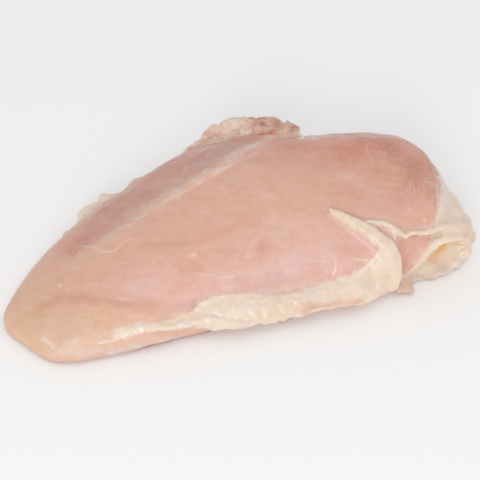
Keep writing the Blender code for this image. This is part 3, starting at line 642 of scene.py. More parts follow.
relief = (
    # (half width, height, points): ridges rise, creases have a height below nothing
    (2, -0.5, ((-50, 6, 25.4), (-33.5, 13.8, 30.4), (-12.5, 21.6, 36), (4.5, 26, 39.2), (20, 32.6, 38.4))),
    (1, -0.6, ((25.2, 60, 33.4), (26.4, 56, 33.4), (26.8, 52, 33.4), (26.6, 48.6, 33.2))),
    (0.9, -0.45, ((-8, 57, 26), (2, 59.6, 27.2), (12, 58.4, 30), (19, 54.6, 31), (24, 50.4, 32.8))),
    (0.9, -0.3, ((33, 46.6, 34.4), (34.8, 51, 34.8), (36, 55, 34.8))),
    (1.8, -0.2, ((-88.1, -7.4, 11), (-79.5, -9.4, 14.8), (-63.7, -16.7, 18.3), (-46.2, -25, 17.5))),
    (1.4, -0.16, ((-31, -16.4, 24.9), (-27.2, -18, 24.7), (-22, -18.6, 24.8))),
    (2, -0.2, ((-41, -0.4, 27.8), (-30, -5.6, 28), (-20.7, -7.6, 30.2), (-4.1, -6.9, 32.2))),
    (0.7, 0.2, seams["skirtFront"]),
    (0.7, 0.2, seams["skirtBack"]),
    (0.8, -0.3, ((84.6, -24.6, 18.8), (89, -22.2, 17.6), (93.2, -17.6, 15))),
    (0.8, -0.3, ((86.2, -23.6, 15.4), (90.6, -21, 13.4), (94.2, -16.4, 10.4))),
    # the roll under the front fat's lobes, the crease above it, and the strand towards the tip
    (1.5, 0.45, ((-38.9, -32.6, 9.4),) + seams["frontRoll"] + ((-9.2, -36.6, 6.7),)),
    (0.8, -0.45, ((-26.6, -31.4, 12), (-21.2, -32.6, 11.9), (-17.7, -34.1, 10.7), (-13.2, -35.2, 9.4),
        (-8.5, -35.9, 8.2), (-2.2, -36.5, 7))),
    (1.2, 0.4, ((-58, -30.6, 9.8),) + seams["tipStrand"]),
)
strands = {
    # frayed fibres beside a path: (path, how many, nearest and farthest side, half width, strength)
    "crest": (((-24, 17.5, 34), (-6.3, 22.6, 37.9), (6.1, 29, 39.2), (17, 38, 36.8), (28.7, 42.8, 34.6),
        (39, 37, 36.8), (50.6, 27.5, 39), (60, 22, 39.4)), 46, (-2.6, 3.6), 0.26, 0.5),
    "skirt": (((78, -2, 32), (84, -10, 26.4), (87.4, -15, 22.6), (91, -20, 16.4)), 26, (-1, 5), 0.3, 0.45),
    "rim": (((62, -23.4, 24), (70, -22.4, 24.4), (78, -20.6, 23.6), (86, -18.6, 22.6), (91, -17, 20)),
        22, (-2.4, 2.4), 0.3, 0.6),
    "strip": (((-34, -31.6, 10.4), (-10, -32.4, 12), (14, -33.4, 11.2), (34, -33, 12.6), (48, -31, 18)),
        34, (-2.4, 2.4), 0.3, 0.45),
    "flap": (((2, 57, 30), (14, 56.6, 31.4), (24, 54.6, 33.6), (34, 49.6, 34.6), (40, 45.6, 34.8)),
        26, (-3.6, 3.6), 0.3, 0.5),
}
strandLook = {
    "seed": 4,
    "places": 120, "every": 3,               # places along a path, and which of them a fibre goes through
    "starts": (2, 100), "lengths": (6, 16),  # in places
    "drift": 1.2,                            # how far a fibre's ends lie from being parallel to the path
}
grooves = {"heading": -20, "spacing": 3.6, "stretch": 5, "depth": 0.03}  # bundles of muscle fibre
swells = {
    # slow unevenness as (height, length)
    "whole": (0.12, 15), "lean": (0.05, 6), "fatLength": 3.4, "fatHeight": 0.05, "lumpyHeight": 0.07,
    "fatEdge": (0.35, 3.2), "patchEdge": (1.5, 7), "cellWarp": 0.7, "paint": ((0.9, 9), (0.3, 3)),
    "threadHeight": 0.12,
}
frontFat = {
    # Outline of the fat along the front edge, seen from the front as (x, z), and its lumps
    "outline": ((-60, 10.2), (-55, 11), (-51.4, 11.3), (-49, 11.8), (-42.8, 11.9), (-36.4, 11.7),
        (-31.6, 12.9), (-27.2, 13), (-25.4, 15), (-21, 15.9), (-17, 16.2), (-9.3, 15.9), (-0.9, 14.3),
        (6.2, 13.5), (17.1, 12.9), (24.7, 13.3), (32.5, 14.6), (37.7, 15.6), (42.7, 17.3), (45.7, 19.4),
        (47.8, 20.5), (48.7, 23.2), (53, 25), (56.4, 21), (56.8, 14), (56, 6), (54, 1.2), (46, 2.6),
        (36, 4.4), (26, 4.8), (15, 3.6), (6, 1.4), (-6, 0.8), (-16, 1.8), (-24, 4), (-29, 6.4), (-34, 7.2),
        (-37.4, 7.4), (-41.2, 8.6), (-45.3, 9.5), (-49.3, 9.7), (-54, 9.3), (-58.8, 9)),
    "back": 4,      # y up to which the outline counts
    "margin": 0.6,  # how far fat reaches beyond the forms
    "far": 9,       # distance that stands for all greater ones
    "step": 0.35, "stepReach": 3, "stepFade": (-62, -40),     # lean meat sinks beside it, from this x on
    "lobule": 4.2, "lobuleHeight": 0.22, "lobuleEdge": 0.55,  # its rounded cells
    "lumpyX": (44, 36), "lumpyY": (42, 46),                   # where they fade in
}
shoulderFat = {
    # Its border on the bulge as (y, x) and under the rim as (x, z), and the lean recess in it as (x, z)
    "border": ((-32, 76.5), (-20.6, 78.2), (-16.7, 79.4), (-9.4, 82.9), (0, 86.4), (10, 89.4), (20, 92.5),
        (40, 100)),
    "rimLine": ((45, 31), (50.4, 30.2), (54.3, 29.4), (57.6, 27.6), (59.4, 25.8), (62, 23.8), (65, 24.8),
        (68.4, 24.2), (72, 23.4), (77, 25.4), (80, 28)),
    "recess": ((58.4, 24.6), (56.6, 23.8), (58.2, 20.4), (58.9, 17.5), (59.2, 14.1), (58.4, 10.6),
        (59.6, 7.2), (64.4, 6.4), (66.4, 9.4), (68.8, 12.8), (70.6, 15.6), (72.6, 18.4), (74.4, 20.4),
        (72.6, 21.4), (69.6, 22.4), (65.4, 23.2), (62, 22.2), (60.2, 23.8)),
    "wander": ((2.4, 17), (1.1, 6)), "topWander": ((2.6, 11), (1.6, 4)),  # swells of its border
    "wanderRows": (-6, 6), "topRows": (0, 14),                            # y over which they set in
    "top": 30, "back": 20,                                # z and y up to which it reaches
    "front": -8,                                          # y up to which it lies under the rim too
    "rimStart": 56.5,                                     # x from which it lies there
    "bulgeStart": 62, "bulgeRows": (-21.5, 30),           # x from which and y between which it alone is fat
    "endStart": 80,                                       # x from which it covers the end
}
keelSide = {
    # The side behind the crest: patches of fat on it as outlines in (x, z), for y above 20
    "crest": ((-95, -4, 8), (-80, -1, 15.6), (-66, 2.5, 20.8), (-52.3, 6.3, 24.8), (-40.8, 10.6, 28.4),
        (-28, 15.1, 32.2), (-14.4, 18.2, 35.3), (1, 22.4, 38.7), (14, 33, 38.5), (28.7, 42.6, 34.5),
        (40, 40, 35.6), (50.6, 33, 37.2), (60, 27.5, 38.6), (76, 24, 38), (90, 20, 28)),
    "places": 120, "limit": 60, "span": (-12, 40), "wander": (0.7, 9),
    "hidden": (4, 16),   # distances behind the crest over which the fat gets lumpier
    "patchesFrom": 20,   # y
    "patchReach": 0.35,  # how far they count as inside fat: the less, the more broken up they are
    "patches": (
        ((30, 2), (38, 9), (46, 12), (55, 9.5), (62, 13), (70, 10), (74, 4), (66, 1.5), (52, 3),
         (40, 1)),
        ((-30, 1), (-24, 6), (-14, 7.5), (-6, 5), (2, 8), (8, 4), (4, 1), (-12, 2)),
        ((-78, 2), (-72, 7), (-62, 8.5), (-56, 5), (-62, 2)),
        ((78, 14), (84, 20), (90, 18), (92, 9), (86, 5), (80, 8)),
    ),
}


def settled(route, skinTree):
    # The route with its points moved onto the skin
    return np.array([skinTree.find_nearest(Vector(p))[0] for p in route])


def strokeCover(points, width, route, skinTree, fade=0.12):
    reach = 3.0 * width
    gap, share = nearPath(points, settled(smoothPath(route, 36)[0], skinTree), reach)
    ends = softStep(0, fade, share) * softStep(0, fade, 1 - share)
    return ends * np.exp(-(gap / width) ** 2) * (gap < reach)


def painted(points, strokes, skinTree):
    cover = np.zeros(len(points))
    for width, strength, route in strokes.get("lines", ()):
        cover = np.maximum(cover, strength * strokeCover(points, width, route, skinTree))
    for centre, radii, strength in strokes.get("spots", ()):
        off = (points - settled([centre], skinTree)[0]) / np.array(radii)
        cover = np.maximum(cover, strength * np.exp(-(off * off).sum(axis=1)))
    return cover


def frayedStrands():
    # Fine fibres beside the paths, as paint lines
    draw = random.Random(strandLook["seed"])
    lines = []
    for path, count, (nearest, farthest), halfWidth, strength in strands.values():
        places, _ = smoothPath(path, strandLook["places"])
        for _ in range(count):
            start = draw.randint(*strandLook["starts"])
            length = draw.randint(*strandLook["lengths"])
            side = draw.uniform(nearest, farthest)
            drift = draw.uniform(-strandLook["drift"], strandLook["drift"])
            part = places[start:start + length:strandLook["every"]]
            if len(part) < 3:
                continue
            along = part[-1] - part[0]
            across = np.array((-along[1], along[0], 0)) / np.linalg.norm(along[:2])
            shifts = side + drift * np.linspace(-1, 1, len(part))
            lines.append((halfWidth, strength * draw.uniform(0.5, 1),
                          tuple(tuple(p + across * s) for p, s in zip(part, shifts))))
    return tuple(lines)


# The skin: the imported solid's shape, with the forms fused on

skin = {
    "node": "chicken_breast",
    "voxel": 0.5,
    "smoothRounds": 3,
    "triangles": 190000,
    "meltRounds": 60,
    "melts": (
        # (centre, radii, strength): where the forms run into one another without a step
        ((67.4, -22.2, 11.5), (4.4, 2.6, 8.5), 1), ((71.6, -22.6, 18), (3.6, 3, 3), 1),
        ((69.4, -22.8, 15.4), (3.6, 2.6, 3.2), 1), ((81, -23.6, 3.6), (7, 4.4, 3.4), 1),
        ((75, -25.6, 2.6), (5, 3, 2.4), 0.8), ((28, 52.6, 33.8), (6, 4.4, 3), 0.6),
        ((21.5, 59, 32.6), (3.6, 3, 2.4), 0.5),
    ),
    "foot": 0.12,              # points below this are set down on the floor
    "footBlend": (0.15, 1.6),  # heights over which the relief grows from nothing, so that the foot stays flat
}
underside = {
    "depth": 0.35, "grooves": 0.16,  # how far its grooves go up into the meat
    "border": (0.2, 0.9),            # heights between which its border is looked for
    "fade": (2, 9),                  # distances from the border over which the grooves deepen
    "height": 2.6,                   # height up to which the lilac edge shows
    "lilac": (200, 184, 180), "red": (140, 90, 84), "lean": (206, 150, 138),
    "lilacShare": 0.85, "redShare": 0.75,
}


def applied(obj):
    graph = bpy.context.evaluated_depsgraph_get()
    mesh = bpy.data.meshes.new_from_object(obj.evaluated_get(graph))
    obj.modifiers.clear()
    old, obj.data = obj.data, mesh
    bpy.data.meshes.remove(old)
    return obj


def solidCopy():
    bm = bmesh.new()
    bm.from_mesh(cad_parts[skin["node"]].data)
    bmesh.ops.remove_doubles(bm, verts=bm.verts, dist=1e-6)
    for vert in bm.verts:
        vert.co = vert.co / drawnMm + Vector((*drawing["centre"], 0))
    obj = meshObject("chickenBreast", bm)
    rounder = obj.modifiers.new("rounder", "SUBSURF")
    rounder.levels = rounder.render_levels = 1
    return applied(obj)


def fuse(body, forms):
    bpy.ops.object.select_all(action="DESELECT")
    for obj in [body] + forms:
        obj.select_set(True)
    bpy.context.view_layer.objects.active = body
    bpy.ops.object.join()
    remesh = body.modifiers.new("remesh", "REMESH")
    remesh.mode, remesh.voxel_size = "VOXEL", skin["voxel"]
    soften = body.modifiers.new("soften", "SMOOTH")
    soften.factor, soften.iterations = 0.5, skin["smoothRounds"]
    return applied(body)


def dropBubbles(body):
    # The remesh can close tiny bubbles inside the meat; only the great outer skin stays
    bm = bmesh.new()
    bm.from_mesh(body.data)
    shell, sizes = [-1] * len(bm.verts), []
    for start in bm.verts:
        if shell[start.index] >= 0:
            continue
        front, size = [start], 0
        shell[start.index] = len(sizes)
        while front:
            vert = front.pop()
            size += 1
            for edge in vert.link_edges:
                other = edge.other_vert(vert)
                if shell[other.index] < 0:
                    shell[other.index] = len(sizes)
                    front.append(other)
        sizes.append(size)
    outer = sizes.index(max(sizes))
    bmesh.ops.delete(bm, geom=[v for v in bm.verts if shell[v.index] != outer], context="VERTS")
    bm.to_mesh(body.data)
    bm.free()


def readPoints(mesh, kind="vertices", label="co"):
    values = np.zeros(len(mesh.vertices) * 3, np.float32)
    getattr(mesh, kind).foreach_get(label, values)
    return values.reshape(-1, 3).astype(float)


def writePoints(mesh, points):
    mesh.vertices.foreach_set("co", points.astype(np.float32).ravel())
    mesh.update()


def markFat(points, probes):
    # How far each point lies inside fat, in millimetres; outside it is negative
    x, y, z = points.T
    flat, far = points[:, (0, 2)], frontFat["far"]
    fat = np.where(y < frontFat["back"], insideOutline(flat, frontFat["outline"]), -far)
    for probe in probes:
        fat = np.maximum(fat, reachInto(points, probe) + frontFat["margin"])
    wander = 0
    for sizes, rows, seed in (("wander", "wanderRows", 31), ("topWander", "topRows", 34)):
        broad, narrow = shoulderFat[sizes]
        both = swell(points, broad, seed) + swell(points, narrow, seed + 1)
        wander = wander + both * softStep(*shoulderFat[rows], y)
    lowest, highest = shoulderFat["bulgeRows"]
    front = y < shoulderFat["front"]
    atEnd = x - valueAlong(shoulderFat["border"], y)
    depth = valueAlong(shoulderFat["rimLine"], x) - z
    underRim = np.where((x > shoulderFat["rimStart"]) & front, depth, -far)
    endFat = np.minimum(np.maximum(atEnd, underRim), shoulderFat["top"] - z)
    endFat = np.minimum(endFat, shoulderFat["back"] - y) + wander
    onBulge = (x > shoulderFat["bulgeStart"]) & (y > lowest) & (y < highest)
    fat = np.minimum(np.maximum(fat, -far), np.where(onBulge, endFat, far))
    atShoulder = (y < highest) & (front | (x > shoulderFat["endStart"]))
    fat = np.maximum(fat, np.where(atShoulder, endFat, -far))
    behind = y > keelSide["patchesFrom"]
    for outline in keelSide["patches"]:
        patch = insideOutline(flat, outline) + swell(points, swells["patchEdge"], 33)
        fat = np.maximum(fat, np.where(behind, np.minimum(patch, keelSide["patchReach"]), -far))
    recess = np.where(front, insideOutline(flat, shoulderFat["recess"]), -far)
    return np.clip(np.minimum(fat, -recess), -6, 6)


def markKeelGap(points):
    # How far behind the crest each point lies, in whole millimetres with a little wander.
    # On the face it is negative.
    path, _ = smoothPath(keelSide["crest"], keelSide["places"])
    gap, share = nearPath(points, path, keelSide["limit"])
    near = np.clip((share * (len(path) - 1)).round().astype(int), 0, len(path) - 1)
    run = np.gradient(path, axis=0)[near]
    side = run[:, 0] * (points[:, 1] - path[near, 1]) - run[:, 1] * (points[:, 0] - path[near, 0])
    return np.clip(np.where(side > 0, gap, -gap), *keelSide["span"]) + swell(points, keelSide["wander"], 41)


def lobules(points, size):
    # Rounded cells about size across, highest in their middles
    shift = Vector((7.3, 3.1, 5.7))
    edge = frontFat["lobuleEdge"]
    heights = np.zeros(len(points))
    for i, p in enumerate(points):
        near = noise.voronoi(Vector(p) / size + shift)[0]
        heights[i] = min(near[1] - near[0], edge) / edge
    return heights


def sculpt(points, normals, masks, skinTree):
    x, y, z = points.T
    fatShare = softStep(-0.35, 0.6, masks["fat"] + swell(points, swells["fatEdge"], 11))
    hidden = softStep(*keelSide["hidden"], masks["keelGap"])
    nearTip, atBack = softStep(*frontFat["lumpyX"], x), softStep(*frontFat["lumpyY"], y)
    lumpy = np.maximum.reduce((nearTip * (y < 0), atBack, 0.5 * hidden))
    bundles = waves(turned(points, grooves["heading"]), grooves["spacing"], 21, (grooves["stretch"], 1, 1))
    lean = swell(points, swells["lean"], 2) + grooves["depth"] * bundles
    rise = swell(points, swells["whole"], 1) + (1 - fatShare) * lean
    beside = np.exp(-(masks["fat"] / frontFat["stepReach"]) ** 2) * (1 - fatShare)
    rise -= frontFat["step"] * (beside * softStep(*frontFat["stepFade"], x))
    fatty = np.nonzero(fatShare * lumpy > 0.02)[0]
    cells = np.full(len(points), 0.5)
    warp = np.stack([waves(points[fatty], 5, 3 + k) for k in range(3)], axis=1)
    cells[fatty] = lobules(points[fatty] + swells["cellWarp"] * warp, frontFat["lobule"])
    fatHeight = swells["fatHeight"] + swells["lumpyHeight"] * lumpy
    rise += fatShare * (frontFat["lobuleHeight"] * lumpy * (cells - 0.5)
                        + fatHeight * waves(points, swells["fatLength"], 7))
    rise += swells["threadHeight"] * masks["threadAndGlint"] + beads["height"] * masks["beadAndGlint"]
    for width, height, route in relief:
        rise += height * strokeCover(points, width, route, skinTree, 0.2)
    made = points + normals * (rise * softStep(*skin["footBlend"], z))[:, None]
    made[:, 2] += underRelief(points, bundles)
    return made


def underRelief(points, bundles):
    # Shallow grooves in the underside, which end before its border so that the piece still lies on its edge
    flat = np.nonzero(points[:, 2] < 0.05)[0]
    lowest, highest = underside["border"]
    border = points[(points[:, 2] > lowest) & (points[:, 2] < highest)]
    tree = KDTree(len(border))
    for i, p in enumerate(border):
        tree.insert(p, i)
    tree.balance()
    gaps = np.array([tree.find(points[i])[2] for i in flat])
    lift = np.zeros(len(points))
    depths = underside["depth"] + underside["grooves"] * bundles[flat]
    lift[flat] = softStep(*underside["fade"], gaps) * depths
    return np.maximum(lift, 0)


forms = makeForms()
probes = [obj for obj, joined in forms]
fused = []
for obj, joined in forms:
    if joined:
        twin = obj.copy()
        twin.data = obj.data.copy()
        scene.collection.objects.link(twin)
        fused.append(twin)
breast = fuse(solidCopy(), fused)
dropBubbles(breast)
melted(breast, skin["melts"])
points = readPoints(breast.data)
points[points[:, 2] < skin["foot"], 2] = 0
writePoints(breast.data, points)
print("skin fused:", len(points), "points")

skinTree = BVHTree.FromPolygons(points.tolist(), [tuple(f.vertices) for f in breast.data.polygons])
masks = {"fat": markFat(points, probes), "keelGap": markKeelGap(points)}
for obj in probes:
    bpy.data.objects.remove(obj)
broad, narrow = swells["paint"]
shift = [swell(points, broad, 60 + k) + swell(points, narrow, 63 + k) for k in range(3)]
warped = points + np.stack(shift, axis=1)
paint["threadAndGlint"]["lines"] += frayedStrands()
for name, strokes in paint.items():
    # threads, painted highlights and wet spots are crisp; everything else is laid on unevenly
    masks[name] = painted(points if name in ("threadAndGlint", "wet") else warped, strokes, skinTree)
spots = tuple((centre, (radius,) * 3, 1.0) for centre, radius in beads["places"])
masks["beadAndGlint"] = painted(points, {"spots": spots}, skinTree)
print("tissue marked:", ", ".join(masks))

normals = readPoints(breast.data, "vertex_normals", "vector")
writePoints(breast.data, sculpt(points, normals, masks, skinTree))
for name, values in masks.items():
    breast.data.attributes.new(name, "FLOAT", "POINT").data.foreach_set("value", values.astype(np.float32))
thinner = breast.modifiers.new("thinner", "DECIMATE")
breast.data.calc_loop_triangles()
thinner.ratio = min(1, skin["triangles"] / len(breast.data.loop_triangles))
applied(breast)
writePoints(breast.data, (readPoints(breast.data) - np.array((*drawing["centre"], 0))) * drawnMm)
breast.data.shade_smooth()
breast.data.calc_loop_triangles()
print("skin sculpted:", len(breast.data.loop_triangles), "triangles")


# Materials

def linear(colour):
    # 0 to 255 screen colour to Blender's linear one
    parts = [c / 255 for c in colour]
    return tuple(c / 12.92 if c <= 0.04045 else ((c + 0.055) / 1.055) ** 2.4 for c in parts) + (1.0,)


def add(tree, kind, inputs=None, **settings):
    made = tree.nodes.new(kind)
    for key, value in settings.items():
        setattr(made, key, value)
    for key, value in (inputs or {}).items():
        if isinstance(value, bpy.types.NodeSocket):
            tree.links.new(value, made.inputs[key])
        else:
            made.inputs[key].default_value = value
    return made


def mixColour(tree, share, low, high):
    return add(tree, "ShaderNodeMix", {0: share, 6: low, 7: high}, data_type="RGBA").outputs[2]


def maths(tree, operation, *values, clamp=False):
    inputs = dict(enumerate(values))
    return add(tree, "ShaderNodeMath", inputs, operation=operation, use_clamp=clamp).outputs[0]


def ramp(tree, value, low, high, start=0.0, end=1.0):
    # Smooth step of value from low to high, between start and end
    inputs = {"Value": value, "From Min": low, "From Max": high, "To Min": start, "To Max": end}
    return add(tree, "ShaderNodeMapRange", inputs, interpolation_type="SMOOTHSTEP").outputs["Result"]


def noiseAt(tree, vector, grain, detail, roughness=0.5):
    # Noise whose swells are about grain millimetres long; grain is a number or a socket
    isSocket = isinstance(grain, bpy.types.NodeSocket)
    scale = maths(tree, "DIVIDE", 1.0, grain) if isSocket else 1 / grain
    inputs = {"Vector": vector, "Scale": scale, "Detail": detail, "Roughness": roughness}
    return add(tree, "ShaderNodeTexNoise", inputs).outputs["Fac"]


def newGroup(name, inputs, output):
    # Group with one output; an input is a number with its usual value, or a vector where that is None
    group = bpy.data.node_groups.new(name, "ShaderNodeTree")
    for label, value in inputs.items():
        kind = "NodeSocketVector" if value is None else "NodeSocketFloat"
        socket = group.interface.new_socket(label, in_out="INPUT", socket_type=kind)
        if value is not None:
            socket.default_value = value
    group.interface.new_socket(output, in_out="OUTPUT", socket_type="NodeSocketFloat")
    source, result = add(group, "NodeGroupInput"), add(group, "NodeGroupOutput")
    return group, source.outputs, result.inputs[output]


def makeRaggedEdge():
    # A border that wanders: how far inside it is, in millimetres, in; how much it covers, 0 to 1, out
    inputs = {"Reach": 0.0, "Softness": 0.3, "Wander": 0.5, "Grain": 2.0, "Vector": None}
    tree, source, result = newGroup("raggedEdge", inputs, "Mask")
    wander = noiseAt(tree, source["Vector"], source["Grain"], 3.0)
    shift = maths(tree, "MULTIPLY", maths(tree, "SUBTRACT", wander, 0.5), source["Wander"])
    moved = maths(tree, "MULTIPLY_ADD", shift, 2.0, source["Reach"])
    low = maths(tree, "MULTIPLY", source["Softness"], -1.0)
    tree.links.new(ramp(tree, moved, low, source["Softness"]), result)
    return tree


def makeFibreGrain():
    # Fine lines side by side: millimetres in, 0.5 on average out; Turn is their heading in radians
    inputs = {"Vector": None, "Turn": 0.0, "Spacing": 1.2, "Length": 16.0, "Rise": 1.2}
    tree, source, result = newGroup("fibreGrain", inputs, "Lines")
    back = maths(tree, "MULTIPLY", source["Turn"], -1.0)
    heading = add(tree, "ShaderNodeVectorRotate", {"Vector": source["Vector"], "Angle": back},
                  rotation_type="Z_AXIS").outputs[0]
    parts = add(tree, "ShaderNodeSeparateXYZ", {0: heading}).outputs
    scaled = [maths(tree, "DIVIDE", parts[k], source[label])
              for k, label in enumerate(("Length", "Spacing", "Rise"))]
    drawn = add(tree, "ShaderNodeCombineXYZ", dict(enumerate(scaled))).outputs[0]
    tree.links.new(ramp(tree, noiseAt(tree, drawn, 1, 3.0, 0.55), 0.3, 0.7), result)
    return tree


def makeWisps():
    # Thin broken threads that wander: millimetres in, how much they cover out
    inputs = {"Vector": None, "Grain": 5.0, "Width": 0.015, "Rarity": 0.55}
    tree, source, result = newGroup("wisps", inputs, "Mask")
    field = noiseAt(tree, source["Vector"], source["Grain"], 3.0)
    level = maths(tree, "ABSOLUTE", maths(tree, "SUBTRACT", field, 0.5))
    threadAndGlint = ramp(tree, level, source["Width"], 0.0)
    elsewhere = {0: source["Vector"], 1: (31.0, 17.0, 5.0)}
    moved = add(tree, "ShaderNodeVectorMath", elsewhere, operation="ADD").outputs[0]
    end = maths(tree, "ADD", source["Rarity"], 0.12)
    patches = ramp(tree, noiseAt(tree, moved, source["Grain"], 1.0), source["Rarity"], end)
    tree.links.new(maths(tree, "MULTIPLY", threadAndGlint, patches), result)
    return tree


groups = {"raggedEdge": makeRaggedEdge(), "fibreGrain": makeFibreGrain(), "wisps": makeWisps()}


def useGroup(tree, name, **inputs):
    return add(tree, "ShaderNodeGroup", inputs, node_tree=groups[name]).outputs[0]


flesh = {
    # Colours as 0 to 255 screen values
    "peach": (224, 175, 153),
    "ochre": (221, 182, 147),
    "roseAndLight": (230, 190, 183),
    "salmonAndShade": (210, 144, 122),
    "deepRimShade": (192, 126, 108),
    "keel": (200, 148, 132),
    "violet": (190, 141, 132),
    "stain": (206, 148, 118),
    "blush": (212, 126, 108),
    "amberShade": (232, 172, 100),
    "brown": (176, 112, 92),
    "filmAndSheen": (226, 206, 198),
    "threadAndGlint": (241, 226, 215),
    "ivory": (232, 220, 206),
    "grey": (220, 205, 199),
    "beadAndGlint": (250, 243, 236),
    "pale": (226, 200, 178),
    # How much the broken-up colours show
    "mottle": 0.18,
    "fleck": 0.09,
    "wisp": 0.2,
    "fibreTurn": math.radians(73),    # heading of the fine lines across the face
    "streakTurn": math.radians(-20),  # heading of the muscle's own streaks
    "fibreShade": 0.26,
    "keelShare": 0.9,
    "filmShare": 0.9,
    "veil": 0.32,     # of film along the crest
    "nearFat": 0.3,   # of film beside the fat
    "dryness": 0.25,  # roughness that dry places add
    "roughness": 0.44,
    "wetRoughness": 0.14,
    "scatter": 0.3,
    "scatterDepth": 0.003,
    "coat": 0.3,
    "dryCoat": 0.03,
    "coatRoughness": 0.16,
    "bump": 0.00022,
}
fat = {
    "cream": (232, 213, 193),
    "yellow": (231, 209, 184),
    "pink": (227, 198, 183),
    "white": (234, 222, 210),
    "roughness": 0.36,
}


def fleshMaterial():
    material = bpy.data.materials.new("rawChicken")
    material.use_nodes = True
    tree = material.node_tree
    tree.nodes.clear()

    def mark(name):
        return add(tree, "ShaderNodeAttribute", attribute_name=name).outputs["Fac"]

    def times(*values):
        product = values[0]
        for value in values[1:]:
            product = maths(tree, "MULTIPLY", product, value)
        return product

    def over(colour, share, name, strength=1.0):
        shown = maths(tree, "MULTIPLY", share, strength, clamp=True)
        return mixColour(tree, shown, colour, linear(flesh[name]))

    place = add(tree, "ShaderNodeTexCoord").outputs["Object"]
    inMm = add(tree, "ShaderNodeVectorMath", {0: place, 1: (1000,) * 3}, operation="MULTIPLY").outputs[0]
    along, across, height = add(tree, "ShaderNodeSeparateXYZ", {0: inMm}).outputs
    normal = add(tree, "ShaderNodeNewGeometry").outputs["Normal"]
    facing = add(tree, "ShaderNodeSeparateXYZ", {0: normal}).outputs[2]
    broad = noiseAt(tree, inMm, 13, 3)
    small = noiseAt(tree, inMm, 4.2, 3, 0.6)
    flecks = noiseAt(tree, inMm, 1.7, 3, 0.6)
    fine = noiseAt(tree, inMm, 1.1, 2)
    streaks = useGroup(tree, "fibreGrain", Vector=inMm, Turn=flesh["streakTurn"],
                       Spacing=2.3, Length=9, Rise=2.3)

    # Lean meat: zones of colour, some of them painted light and shade, broken up by noise
    breakUp = ramp(tree, maths(tree, "ADD", broad, times(small, 0.6)), 0.55, 1.05, 0.6, 1.2)
    colour = linear(flesh["peach"])
    for name in ("ochre", "roseAndLight", "salmonAndShade", "pale"):
        colour = over(colour, times(mark(name), breakUp), name)
    gap = mark("keelGap")
    tilt = maths(tree, "ADD", facing, times(maths(tree, "SUBTRACT", small, 0.5), 0.3))
    below = ramp(tree, tilt, -0.7, -0.95)
    above = ramp(tree, below, 1, 0)
    behind = times(ramp(tree, gap, 1.5, 7), ramp(tree, broad, 0.3, 0.6, 0.6, 1.0),
                   ramp(tree, along, -72, -34, 0.1, 1.0), above)
    colour = over(colour, behind, "keel", flesh["keelShare"])
    # the keel side's violet tone, then painted shade along the upper rims
    for name in ("violet", "deepRimShade"):
        colour = over(colour, times(mark(name), breakUp), name)
    for value, start, full, name, strength in (
            (streaks, 0.5, 0.95, "roseAndLight", flesh["mottle"] * 0.7),
            (streaks, 0.5, 0.05, "salmonAndShade", flesh["mottle"] * 0.4),
            (broad, 0.42, 0.28, "ochre", flesh["mottle"]),
            (small, 0.5, 0.7, "roseAndLight", flesh["mottle"] * 1.4),
            (small, 0.5, 0.3, "salmonAndShade", flesh["mottle"]),
            (flecks, 0.5, 0.72, "filmAndSheen", flesh["fleck"]),
            (flecks, 0.5, 0.28, "stain", flesh["fleck"])):
        colour = over(colour, ramp(tree, value, start, full), name, strength)
    veil = times(ramp(tree, gap, -0.6, 0.5), ramp(tree, gap, 6.0, 1.0),
                 ramp(tree, streaks, 0.2, 0.8, 0.45, 1.0), ramp(tree, along, -66, -38, 0.1, 1.0))
    colour = over(colour, veil, "filmAndSheen", flesh["veil"])
    nearFat = times(ramp(tree, mark("fat"), -2.2, 0.0), ramp(tree, small, 0.35, 0.6, 0.3, 1.0))
    colour = over(colour, nearFat, "filmAndSheen", flesh["nearFat"])
    lines = useGroup(tree, "fibreGrain", Vector=inMm, Turn=flesh["fibreTurn"],
                     Spacing=1.0, Length=16, Rise=16)
    lineShare = times(ramp(tree, lines, 0.55, 0.95), mark("fineLines"), ramp(tree, small, 0.35, 0.6))
    colour = over(colour, lineShare, "filmAndSheen", flesh["fibreShade"])
    stretched = add(tree, "ShaderNodeMapping", {"Vector": inMm, "Rotation": (0, 0, -flesh["streakTurn"]),
                                                "Scale": (0.35, 1, 1)}).outputs[0]
    wisps = maths(tree, "MAXIMUM", useGroup(tree, "wisps", Vector=inMm, Grain=5.5, Width=0.012, Rarity=0.55),
                  useGroup(tree, "wisps", Vector=stretched, Grain=3.6, Width=0.018, Rarity=0.55))
    colour = over(colour, wisps, "threadAndGlint", flesh["wisp"])

    # Fat, with its yellow, pink and white parts
    cover = useGroup(tree, "raggedEdge", Reach=mark("fat"), Softness=0.4, Wander=0.8, Grain=2.2, Vector=inMm)
    atEnd = times(ramp(tree, along, 66, 74), ramp(tree, across, -20, -6))
    thin = times(maths(tree, "MAXIMUM", ramp(tree, gap, 7, 14), atEnd), ramp(tree, mark("fat"), 5, 2))
    worn = ramp(tree, maths(tree, "ADD", times(small, 0.6), times(flecks, 0.4)), 0.36, 0.6, 0.15, 0.85)
    cover = times(cover, add(tree, "ShaderNodeMix", {0: thin, 2: 1.0, 3: worn}).outputs[0])
    beneath = times(ramp(tree, broad, 0.54, 0.66), worn, 0.7)
    cover = add(tree, "ShaderNodeMix", {0: below, 2: cover, 3: beneath}).outputs[0]
    fatColour = mixColour(tree, ramp(tree, broad, 0.42, 0.62), linear(fat["cream"]), linear(fat["yellow"]))
    fatColour = mixColour(tree, times(ramp(tree, small, 0.5, 0.66), 0.6), fatColour, linear(fat["white"]))
    fatColour = mixColour(tree, times(ramp(tree, small, 0.46, 0.32), 0.6), fatColour, linear(fat["pink"]))
    colour = mixColour(tree, cover, colour, fatColour)
